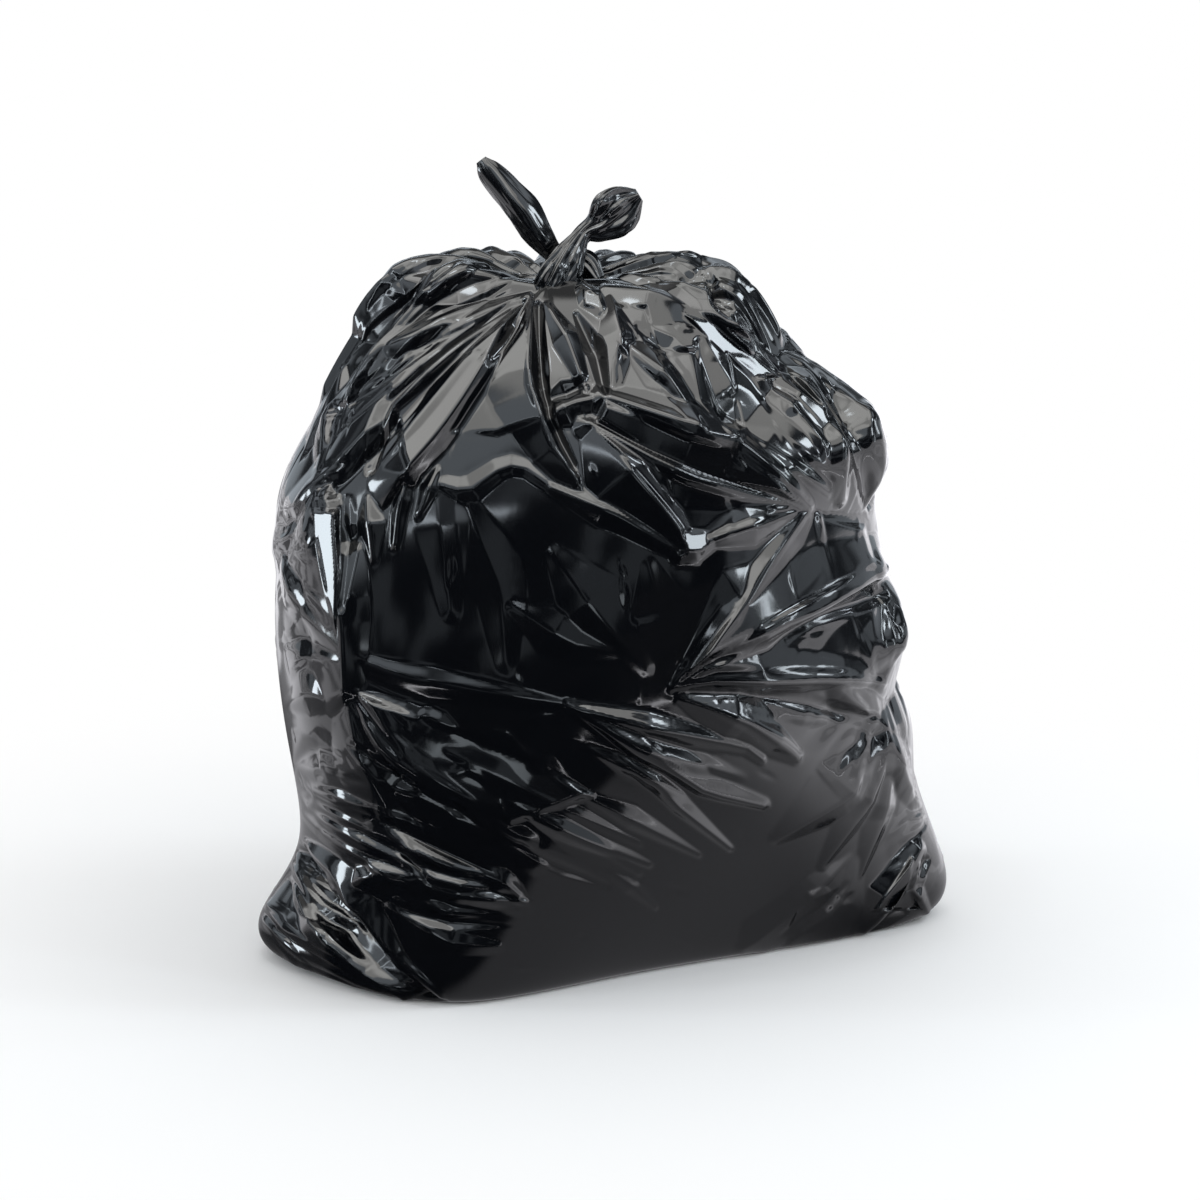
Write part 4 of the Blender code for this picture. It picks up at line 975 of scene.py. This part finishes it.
def gathered(path, sizes, side, pleats, depth, crumple, seed):
    """A gathered corner of the mouth: flattened, pleated sections carried along a curve.

    A section is an ellipse with pleats and crumples, bent into a gutter by its curl.
    """
    line = curve_through(path, EAR_STEPS - 1)
    size = curve_through(sizes, EAR_STEPS - 1)
    forward = np.gradient(line, axis=0)
    forward /= np.linalg.norm(forward, axis=1, keepdims=True)
    across = np.array(side) - forward * (forward @ np.array(side))[:, None]
    across /= np.linalg.norm(across, axis=1, keepdims=True)
    over = np.cross(forward, across)
    wide = np.maximum(size[:, 0, None], THINNEST)
    thick = np.maximum(size[:, 1, None], THINNEST)
    curl = size[:, 2, None]
    angle, radius = section_radius(pleats, depth, crumple, seed)
    u = wide * np.cos(angle) * radius
    v = thick * np.sin(angle) * radius + curl * ((u / wide) ** 2 - 0.5)
    return line[:, None, :] + u[..., None] * across[:, None, :] + v[..., None] * over[:, None, :]


# ---------------------------------------------------------------- meshes and materials

# The film's fine finish: noise scale, detail and stretch, then the height of a ripple.
SHEEN_NOISE = (28, 3, (1, 1, 0.5))
SHEEN_SPREAD = 0.03  # how far the roughness varies
RIPPLES = (((55, 2, (1, 1, 0.4)), 0.0004), ((210, 3, (1, 1, 0.35)), 0.0001))


def closed_mesh(name, grid):
    """A smooth mesh of a grid of points, closed round its columns and capped at both ends."""
    rows, columns = grid.shape[:2]
    first = np.arange(rows - 1)[:, None] * columns
    column = np.arange(columns)[None, :]
    after = (column + 1) % columns
    corners = [first + column, first + after, first + columns + after, first + columns + column]
    faces = np.stack(corners, axis=-1).reshape(-1, 4).tolist()
    faces.append(list(range(columns))[::-1])
    faces.append(list(range((rows - 1) * columns, rows * columns)))
    mesh = bpy.data.meshes.new(name)
    mesh.from_pydata((grid - [MIDDLE[0], MIDDLE[1], 0]).reshape(-1, 3).tolist(), [], faces)
    mesh.polygons.foreach_set("use_smooth", np.ones(len(faces), bool))
    return mesh


def add_piece(name, grid, material):
    """A piece of the sack: its object, its finish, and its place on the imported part."""
    piece = bpy.data.objects.new(name, closed_mesh(name, grid))
    bpy.context.scene.collection.objects.link(piece)
    piece.data.materials.append(material)
    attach(piece, BODY)
    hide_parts(NODE)
    return piece


def node(tree, kind, **values):
    """A shader node with its settings."""
    made = tree.nodes.new(kind)
    for name, value in values.items():
        setattr(made, name, value)
    return made


def film_noise(tree, scale, detail, stretch):
    """Noise on the film's own place, stretched along its height."""
    place = node(tree, "ShaderNodeTexCoord").outputs["Object"]
    turn = node(tree, "ShaderNodeMapping")
    turn.inputs["Scale"].default_value = stretch
    wave = node(tree, "ShaderNodeTexNoise")
    wave.inputs["Scale"].default_value = scale
    wave.inputs["Detail"].default_value = detail
    tree.links.new(place, turn.inputs["Vector"])
    tree.links.new(turn.outputs["Vector"], wave.inputs["Vector"])
    return wave.outputs["Fac"]


def film_material(look):
    """Glossy black film: a dark base, sharp reflections, and fine ripples under the big folds."""
    material = bpy.data.materials.get("glossy_film")
    if material:
        return material
    material = bpy.data.materials.new("glossy_film")
    material.use_nodes = True
    tree = material.node_tree
    shader = tree.nodes["Principled BSDF"]
    shader.inputs["Base Color"].default_value = (*look.colour, 1)
    shader.inputs["IOR"].default_value = look.ior
    sheen = node(tree, "ShaderNodeMapRange")
    sheen.inputs["To Min"].default_value = look.roughness - SHEEN_SPREAD
    sheen.inputs["To Max"].default_value = look.roughness + SHEEN_SPREAD
    tree.links.new(film_noise(tree, *SHEEN_NOISE), sheen.inputs["Value"])
    tree.links.new(sheen.outputs["Result"], shader.inputs["Roughness"])
    target = shader.inputs["Normal"]
    for noise, height in reversed(RIPPLES):
        bump = node(tree, "ShaderNodeBump")
        bump.inputs["Strength"].default_value = look.ripple
        bump.inputs["Distance"].default_value = height
        tree.links.new(film_noise(tree, *noise), bump.inputs["Height"])
        tree.links.new(bump.outputs["Normal"], target)
        target = bump.inputs["Normal"]
    return material


# ---------------------------------------------------------------- the studio

# Lamps: azimuth and elevation in degrees, distance, width and height, and brightness.
LAMPS = {
    "left_lamp": (-86, 4, 2.4, 0.35, 0.8, 16),
    "high_lamp": (-35, 70, 2.6, 0.3, 0.3, 12),
    "right_lamp": (56, 30, 2.6, 0.35, 0.35, 14),
    "strip_lamp": (83, 45, 2.6, 0.42, 0.42, 16),
    "soft_lamp": (7, 0, 2.8, 0.5, 0.28, 2.2),
    "edge_lamp": (97, 24, 2.4, 0.25, 0.8, 8),
    "right_bar": (74, 8, 2.6, 0.10, 1.0, 11),
    "left_bar": (-58, 22, 2.6, 0.10, 1.0, 9),
}
LAMP_COLOUR = (0.84, 0.93, 1.0)
AIM = (-0.0069, -0.0036, 0.30)  # the place in the sack that the camera and the lamps aim at
SENSOR_WIDTH, CAMERA_SHIFT = 36, (0.0009, 0.0071)

# The room that gloss shows. Its heights are the sines of the angles above eye level, and the two
# sides of a thing are azimuths in degrees, where 0 is in front.
DARK = 0.01  # the darkest tone in the room
SIDE_EDGE = 0.04  # half the width of the soft edge of a side, in radians
CARD = (-62, 50)  # one dark card stands in front, and another lies on the floor
WALL_RISE = (0.37, 0.515)  # the walls turn grey between these heights
OVERHEAD, OVERHEAD_EDGE = 0.68, 0.015  # where the ceiling starts, and half its soft edge
WINDOW, WINDOW_FOOT = (-108, -38), 0.60  # on the left it starts lower
BEAM, BEAM_FOOT = (58, 150), 0.84  # on the right it starts higher
CEILING_BACK, BACK_TONE = (0.22, 0.30), 0.12  # how far back it is bright, and its tone past that
TUBE, TUBE_EDGES = 0.37, (0.006, 0.011)  # a thin lamp runs along the walls

# The floor, in metres from the middle of the sack.
FLOOR_SIZE = 16.0
FLOOR_ROUGHNESS, FLOOR_SPECULAR = 0.7, 0.2
RUN_OUT = (0.38, 0.95)  # it turns into plain white between these distances
CARD_SLANT = (0.8, 1.0, 0.0)  # the card's far edge is square to this direction
CARD_FAR_EDGE = (-0.35, -0.29)  # and lies between these distances along it
RIGHT_LIGHT, RIGHT_GAIN = (0.24, 0.55), 4.5  # the floor brightens to the right, so many times
LEFT_LIGHT, LEFT_GAIN = (-0.75, -0.42), 3.5  # and to the left
EVEN_LIGHT, EVEN_TONE = (0.15, 0.35), 0.75  # to the right of this its patches are evened out
RING, RING_EDGES = 0.80, (0.010, 0.016)  # a thin ring of light lies on it
RING_SIDES, RING_GAP = (-62, 75), (-22, 12)  # the part of the ring that shines, but for a gap

# Broad patches of light: the scale of their noise, the tone of the gaps between them, and the
# level of the noise at which a patch starts.
PATCHES = {
    "floor": (2.2, 0.3, 0.44),
    "ring": (3.1, 0.0, 0.44),
    "walls": (2.6, 0.1, 0.44),
    "card": (6.0, 0.0, 0.50),
    "tube": (4.2, 0.0, 0.49),
    "ceiling": (1.9, 0.6, 0.44),
}
PATCH_DETAIL, PATCH_EDGE = 1.5, 0.09


def aside(azimuth, elevation, distance):
    """A place seen from the aim, at an azimuth and an elevation in degrees."""
    way = Vector(towards(math.radians(azimuth), math.radians(elevation)))
    return Vector(AIM) + way * distance


def add_object(name, data):
    """An object of the studio, linked to the scene."""
    made = bpy.data.objects.new(name, data)
    bpy.context.scene.collection.objects.link(made)
    return made


def add_lamp(name, azimuth, elevation, distance, width, height, brightness):
    """A soft box that only its reflections show."""
    light = bpy.data.lights.new(name, "AREA")
    light.shape = "RECTANGLE"
    light.size = width
    light.size_y = height
    light.energy = brightness * math.pi * width * height
    light.color = LAMP_COLOUR
    lamp = add_object(name, light)
    lamp.location = aside(azimuth, elevation, distance)
    lamp.rotation_euler = (Vector(AIM) - lamp.location).to_track_quat("-Z", "Y").to_euler()
    lamp.visible_camera = False


def ramp(tree, value, begin, end, low, high):
    """A smooth rise of a value: low up to begin, and high from end on."""
    rise = node(tree, "ShaderNodeMapRange", interpolation_type="SMOOTHSTEP")
    for name, number in (("From Min", begin), ("From Max", end), ("To Min", low), ("To Max", high)):
        rise.inputs[name].default_value = number
    tree.links.new(value, rise.inputs["Value"])
    return rise.outputs["Result"]


def combine(tree, operation, one, two):
    """The result of a Math node on two sockets."""
    maths = node(tree, "ShaderNodeMath", operation=operation)
    tree.links.new(one, maths.inputs[0])
    tree.links.new(two, maths.inputs[1])
    return maths.outputs["Value"]


def product(tree, first, *others):
    """The product of two or more sockets."""
    for other in others:
        first = combine(tree, "MULTIPLY", first, other)
    return first


def scaled(tree, value, factor):
    """A socket's value times a number."""
    maths = node(tree, "ShaderNodeMath", operation="MULTIPLY")
    maths.inputs[1].default_value = factor
    tree.links.new(value, maths.inputs[0])
    return maths.outputs["Value"]


def mix_shaders(tree, share, one, two):
    """A Mix Shader: one where the share is 0, and two where it is 1."""
    mix = node(tree, "ShaderNodeMixShader")
    tree.links.new(share, mix.inputs[0])
    tree.links.new(one, mix.inputs[1])
    tree.links.new(two, mix.inputs[2])
    return mix.outputs["Shader"]


def patches(tree, place, name):
    """Brightness from place to place: 1 in broad patches of light, and less in the gaps."""
    scale, gaps, start = PATCHES[name]
    wave = node(tree, "ShaderNodeTexNoise")
    wave.inputs["Scale"].default_value = scale
    wave.inputs["Detail"].default_value = PATCH_DETAIL
    tree.links.new(place, wave.inputs["Vector"])
    return ramp(tree, wave.outputs["Fac"], start, start + PATCH_EDGE, gaps, 1.0)


def between(tree, apart, sides):
    """1 for places or directions whose azimuth lies between two sides, and 0 past them."""
    back = scaled(tree, apart.outputs["Y"], -1)
    azimuth = combine(tree, "ARCTAN2", apart.outputs["X"], back)
    left, right = (math.radians(side) for side in sides)
    past_left = ramp(tree, azimuth, left - SIDE_EDGE, left + SIDE_EDGE, 0, 1)
    before_right = ramp(tree, azimuth, right - SIDE_EDGE, right + SIDE_EDGE, 1, 0)
    return combine(tree, "MULTIPLY", past_left, before_right)


def thin_light(tree, value, middle, edges, brightness):
    """A thin line of light where a value is near its middle, dark beyond its outer edges."""
    inner, outer = edges
    rise = ramp(tree, value, middle - outer, middle - inner, 0, brightness)
    fall = ramp(tree, value, middle + inner, middle + outer, 1, 0)
    return combine(tree, "MULTIPLY", rise, fall)


def floor_in_gloss(tree, place, studio):
    """How bright the floor looks in gloss.

    It is dark where the card lies and lies in patches elsewhere, brighter to both sides, with a
    thin ring of light on it.
    """
    away = node(tree, "ShaderNodeVectorMath", operation="LENGTH")
    apart = node(tree, "ShaderNodeSeparateXYZ")
    aslant = node(tree, "ShaderNodeVectorMath", operation="DOT_PRODUCT")
    aslant.inputs[1].default_value = CARD_SLANT
    for measure in (away, apart, aslant):
        tree.links.new(place, measure.inputs[0])
    before = ramp(tree, aslant.outputs["Value"], *CARD_FAR_EDGE, 1, 0)
    card = combine(tree, "MULTIPLY", before, between(tree, apart, CARD))
    ground = ramp(tree, card, 0, 1, studio.ground, DARK)
    to_right = ramp(tree, apart.outputs["X"], *RIGHT_LIGHT, 1, RIGHT_GAIN)
    to_left = ramp(tree, apart.outputs["X"], *LEFT_LIGHT, LEFT_GAIN, 1)
    even = ramp(tree, apart.outputs["X"], *EVEN_LIGHT, 0, EVEN_TONE)
    patchy = combine(tree, "MAXIMUM", patches(tree, place, "floor"), even)
    ring = thin_light(tree, away.outputs["Value"], RING, RING_EDGES, studio.tube)
    past_gap = ramp(tree, between(tree, apart, RING_GAP), 0, 1, 1, 0)
    broken = product(tree, past_gap, patches(tree, place, "ring"), between(tree, apart, RING_SIDES))
    lit = product(tree, ground, to_right, patchy, to_left)
    return combine(tree, "ADD", lit, combine(tree, "MULTIPLY", ring, broken))


def floor_material(studio):
    """A pale floor that runs out into white. Gloss shows it as floor_in_gloss has it."""
    material = bpy.data.materials.new("studio_floor")
    material.use_nodes = True
    tree = material.node_tree
    plain = tree.nodes["Principled BSDF"]
    plain.inputs["Base Color"].default_value = (*studio.floor_colour, 1)
    plain.inputs["Roughness"].default_value = FLOOR_ROUGHNESS
    plain.inputs["Specular IOR Level"].default_value = FLOOR_SPECULAR
    white = node(tree, "ShaderNodeEmission").outputs["Emission"]
    path = node(tree, "ShaderNodeLightPath").outputs
    place = node(tree, "ShaderNodeTexCoord").outputs["Object"]
    away = node(tree, "ShaderNodeVectorMath", operation="LENGTH")
    tree.links.new(place, away.inputs[0])
    far = ramp(tree, away.outputs["Value"], *RUN_OUT, 0, 1)
    runs_out = combine(tree, "MULTIPLY", far, path["Is Camera Ray"])
    floor = mix_shaders(tree, runs_out, plain.outputs["BSDF"], white)
    glossy = node(tree, "ShaderNodeEmission")
    glossy.inputs["Color"].default_value = (*studio.grey, 1)
    tree.links.new(floor_in_gloss(tree, place, studio), glossy.inputs["Strength"])
    shown = mix_shaders(tree, path["Is Glossy Ray"], floor, glossy.outputs["Emission"])
    tree.links.new(shown, tree.nodes["Material Output"].inputs["Surface"])
    return material


def ceiling_height(tree, apart):
    """The height of a direction in the room, moved up at the window and down at the beam."""
    height = apart.outputs["Z"]
    for sides, foot in ((WINDOW, WINDOW_FOOT), (BEAM, BEAM_FOOT)):
        moved = ramp(tree, between(tree, apart, sides), 0, 1, 0, OVERHEAD - foot)
        height = combine(tree, "ADD", height, moved)
    return height


def walls_in_gloss(tree, place, apart, height, studio):
    """How bright the walls look in gloss.

    They are grey high up and at the sides, in patches, with dim patches on the dark card in front
    and a thin lamp along them. They end where the ceiling starts.
    """
    wall = ramp(tree, height, *WALL_RISE, DARK, studio.wall)
    sides = ramp(tree, between(tree, apart, CARD), 0, 1, studio.sides, DARK)
    walls = combine(tree, "MAXIMUM", wall, sides)
    walls = combine(tree, "MULTIPLY", walls, patches(tree, place, "walls"))
    glow = scaled(tree, patches(tree, place, "card"), studio.glow)
    walls = combine(tree, "MAXIMUM", walls, glow)
    tube = thin_light(tree, apart.outputs["Z"], TUBE, TUBE_EDGES, studio.tube)
    tube = combine(tree, "MULTIPLY", tube, patches(tree, place, "tube"))
    walls = combine(tree, "ADD", walls, tube)
    under = ramp(tree, height, OVERHEAD - OVERHEAD_EDGE, OVERHEAD + OVERHEAD_EDGE, 1, 0)
    return combine(tree, "MULTIPLY", walls, under)


def ceiling_in_gloss(tree, place, apart, height, studio):
    """How bright the ceiling looks in gloss: a light one over the front half, dim at the back."""
    start, end = OVERHEAD - OVERHEAD_EDGE, OVERHEAD + OVERHEAD_EDGE
    above = ramp(tree, height, start, end, 0, studio.overhead)
    front = ramp(tree, apart.outputs["Y"], *CEILING_BACK, 1, BACK_TONE)
    return product(tree, above, front, patches(tree, place, "ceiling"))


def background(tree, colour):
    """A Background node of a colour, at a strength of 1."""
    made = node(tree, "ShaderNodeBackground")
    made.inputs["Color"].default_value = (*colour, 1)
    return made


def studio_world(studio):
    """White behind everything, an even grey for soft light, and a shaped room for reflections.

    The room that gloss shows has cool walls, dark in front up to eye height, and a warm light
    ceiling over its front half.
    """
    world = bpy.data.worlds.new("studio")
    world.use_nodes = True
    tree = world.node_tree
    tree.nodes.clear()
    white = background(tree, (1, 1, 1))
    soft = background(tree, (1, 1, 1))
    walls = background(tree, studio.cool)
    ceiling = background(tree, studio.warm)
    soft.inputs["Strength"].default_value = studio.soft_light
    place = node(tree, "ShaderNodeTexCoord").outputs["Generated"]
    apart = node(tree, "ShaderNodeSeparateXYZ")
    tree.links.new(place, apart.inputs["Vector"])
    height = ceiling_height(tree, apart)
    for shader, tone in ((walls, walls_in_gloss), (ceiling, ceiling_in_gloss)):
        tree.links.new(tone(tree, place, apart, height, studio), shader.inputs["Strength"])
    room = node(tree, "ShaderNodeAddShader")
    tree.links.new(walls.outputs[0], room.inputs[0])
    tree.links.new(ceiling.outputs[0], room.inputs[1])
    path = node(tree, "ShaderNodeLightPath").outputs
    lit = mix_shaders(tree, path["Is Glossy Ray"], soft.outputs[0], room.outputs[0])
    shown = mix_shaders(tree, path["Is Camera Ray"], lit, white.outputs[0])
    output = node(tree, "ShaderNodeOutputWorld")
    tree.links.new(shown, output.inputs["Surface"])
    return world


# ---------------------------------------------------------------- settings


class BinBagFilm(bpy.types.PropertyGroup):
    """The film: how finely it is worked out, and its finish."""

    columns: bpy.props.IntProperty(
        name="Columns",
        description="Points round the sack",
        default=1000,
        min=100,
        max=1200,
    )
    rows: bpy.props.IntProperty(
        name="Rows",
        description="Points from the middle of the base to the neck",
        default=640,
        min=80,
        max=800,
    )
    depth: bpy.props.FloatProperty(
        name="Depth of folds",
        description="How far the folds stand out, where 1 is as laid",
        default=1.0,
        subtype="FACTOR",
        min=0,
        max=1.2,
    )
    colour: bpy.props.FloatVectorProperty(
        name="Colour",
        description="Colour of the film",
        default=(0.0022, 0.0026, 0.0036),
        subtype="COLOR",
        min=0,
        max=1,
    )
    roughness: bpy.props.FloatProperty(
        name="Roughness",
        description="Roughness of the film",
        default=0.09,
        subtype="FACTOR",
        min=0,
        max=1,
    )
    ior: bpy.props.FloatProperty(
        name="IOR",
        description="Index of refraction of polythene",
        default=1.52,
        min=1,
        max=2,
    )
    ripple: bpy.props.FloatProperty(
        name="Ripple",
        description="Strength of the finest ripples",
        default=0.15,
        subtype="FACTOR",
        min=0,
        max=1,
    )


class BinBagStudio(bpy.types.PropertyGroup):
    """The room that the sack stands in, its light and its camera."""

    floor_colour: bpy.props.FloatVectorProperty(
        name="Floor",
        description="Colour of the floor",
        default=(0.88, 0.88, 0.88),
        subtype="COLOR",
        min=0,
        max=1,
    )
    soft_light: bpy.props.FloatProperty(
        name="Soft light",
        description="Strength of the even light",
        default=0.9,
        min=0,
    )
    overhead: bpy.props.FloatProperty(
        name="Overhead",
        description="Brightness of the ceiling, seen in gloss",
        default=5.5,
        min=0,
    )
    wall: bpy.props.FloatProperty(
        name="Wall",
        description="Brightness of the walls high up, seen in gloss",
        default=1.8,
        min=0,
    )
    sides: bpy.props.FloatProperty(
        name="Sides",
        description="Brightness of the walls to both sides of the card, seen in gloss",
        default=0.9,
        min=0,
    )
    glow: bpy.props.FloatProperty(
        name="Glow",
        description="Brightness of the patches on the dark card in front",
        default=0.35,
        min=0,
    )
    tube: bpy.props.FloatProperty(
        name="Tube",
        description="Brightness of the thin lamps along the walls and on the floor, seen in gloss",
        default=9.0,
        min=0,
    )
    ground: bpy.props.FloatProperty(
        name="Ground",
        description="Brightness of the floor, seen in gloss",
        default=0.45,
        min=0,
    )
    grey: bpy.props.FloatVectorProperty(
        name="Grey",
        description="Colour of the floor, seen in gloss",
        default=(0.96, 0.955, 1.0),
        subtype="COLOR",
        min=0,
        max=1,
    )
    cool: bpy.props.FloatVectorProperty(
        name="Cool",
        description="Colour of the walls, seen in gloss",
        default=(0.82, 0.91, 1.0),
        subtype="COLOR",
        min=0,
        max=1,
    )
    warm: bpy.props.FloatVectorProperty(
        name="Warm",
        description="Colour of the ceiling, seen in gloss",
        default=(1.0, 1.0, 0.975),
        subtype="COLOR",
        min=0,
        max=1,
    )
    elevation: bpy.props.FloatProperty(
        name="Camera height",
        description="Angle at which the camera looks down",
        default=math.radians(14),
        subtype="ANGLE",
    )
    distance: bpy.props.FloatProperty(
        name="Camera distance",
        description="How far the camera stands from the sack",
        default=4.5,
        unit="LENGTH",
    )
    view_width: bpy.props.FloatProperty(
        name="View width",
        description="Width of the view at the sack",
        default=1.048,
        unit="LENGTH",
    )


# ---------------------------------------------------------------- operators


class OBJECT_OT_bin_bag_body(bpy.types.Operator):
    """Add the full body of the sack: a loft through rings, folded in three layers"""

    bl_idname = "object.bin_bag_body"
    bl_label = "Add Sack Body"

    def execute(self, context):
        film = context.scene.bin_bag_film
        scale = 1.0
        grid = body_form(int(film.rows * scale), int(film.columns * scale), film.depth)
        body = add_piece("sack_body", grid, film_material(film))
        return {"FINISHED"}


class OBJECT_OT_bin_bag_ears(bpy.types.Operator):
    """Add the half knot: the two gathered corners of the mouth, crossed and standing up"""

    bl_idname = "object.bin_bag_ears"
    bl_label = "Add Knot and Ears"

    def execute(self, context):
        film = context.scene.bin_bag_film
        add_piece("left_ear", gathered(*LEFT_EAR), film_material(film))
        add_piece("right_ear", gathered(*RIGHT_EAR), film_material(film))
        return {"FINISHED"}


class SCENE_OT_bin_bag_studio(bpy.types.Operator):
    """Add the floor, the lamps, the room and the camera"""

    bl_idname = "scene.bin_bag_studio"
    bl_label = "Add Studio"

    def execute(self, context):
        studio = context.scene.bin_bag_studio
        half = FLOOR_SIZE / 2
        mesh = bpy.data.meshes.new("studio_floor")
        corners = [(-half, -half, 0), (half, -half, 0), (half, half, 0), (-half, half, 0)]
        mesh.from_pydata(corners, [], [(0, 1, 2, 3)])
        mesh.materials.append(floor_material(studio))
        add_object("studio_floor", mesh)
        context.scene.world = studio_world(studio)
        for name, lamp in LAMPS.items():
            add_lamp(name, *lamp)
        camera = bpy.data.cameras.new("camera")
        camera.sensor_width = SENSOR_WIDTH
        camera.lens = SENSOR_WIDTH * studio.distance / studio.view_width
        camera.shift_x, camera.shift_y = CAMERA_SHIFT
        viewer = add_object("camera", camera)
        viewer.location = aside(0, math.degrees(studio.elevation), studio.distance)
        viewer.rotation_euler = (math.radians(90) - studio.elevation, 0, 0)
        context.scene.camera = viewer
        context.scene.view_settings.view_transform = "Standard"
        return {"FINISHED"}


class VIEW3D_PT_bin_bag(bpy.types.Panel):
    """The sack's settings and the steps that build it"""

    bl_label = "Full Bin Bag"
    bl_idname = "VIEW3D_PT_bin_bag"
    bl_space_type = "VIEW_3D"
    bl_region_type = "UI"
    bl_category = "Bin Bag"

    def draw(self, context):
        layout = self.layout
        for group in (context.scene.bin_bag_film, context.scene.bin_bag_studio):
            box = layout.box()
            for name in group.__annotations__:
                box.prop(group, name)
        for operator in OPERATORS:
            layout.operator(operator.bl_idname)


OPERATORS = (OBJECT_OT_bin_bag_body, OBJECT_OT_bin_bag_ears, SCENE_OT_bin_bag_studio)
GROUPS = (("bin_bag_film", BinBagFilm), ("bin_bag_studio", BinBagStudio))


def register():
    """Registers the settings, then the operators and the panel that use them."""
    for name, group in GROUPS:
        bpy.utils.register_class(group)
        setattr(bpy.types.Scene, name, bpy.props.PointerProperty(type=group))
    for thing in (*OPERATORS, VIEW3D_PT_bin_bag):
        bpy.utils.register_class(thing)


def unregister():
    """Undoes what register does."""
    for thing in (*OPERATORS, VIEW3D_PT_bin_bag):
        bpy.utils.unregister_class(thing)
    for name, group in GROUPS:
        delattr(bpy.types.Scene, name)
        bpy.utils.unregister_class(group)


def main():
    """Builds the sack and its studio."""
    register()
    bpy.ops.object.bin_bag_body()
    bpy.ops.object.bin_bag_ears()
    bpy.ops.scene.bin_bag_studio()


if __name__ == "__main__":
    main()
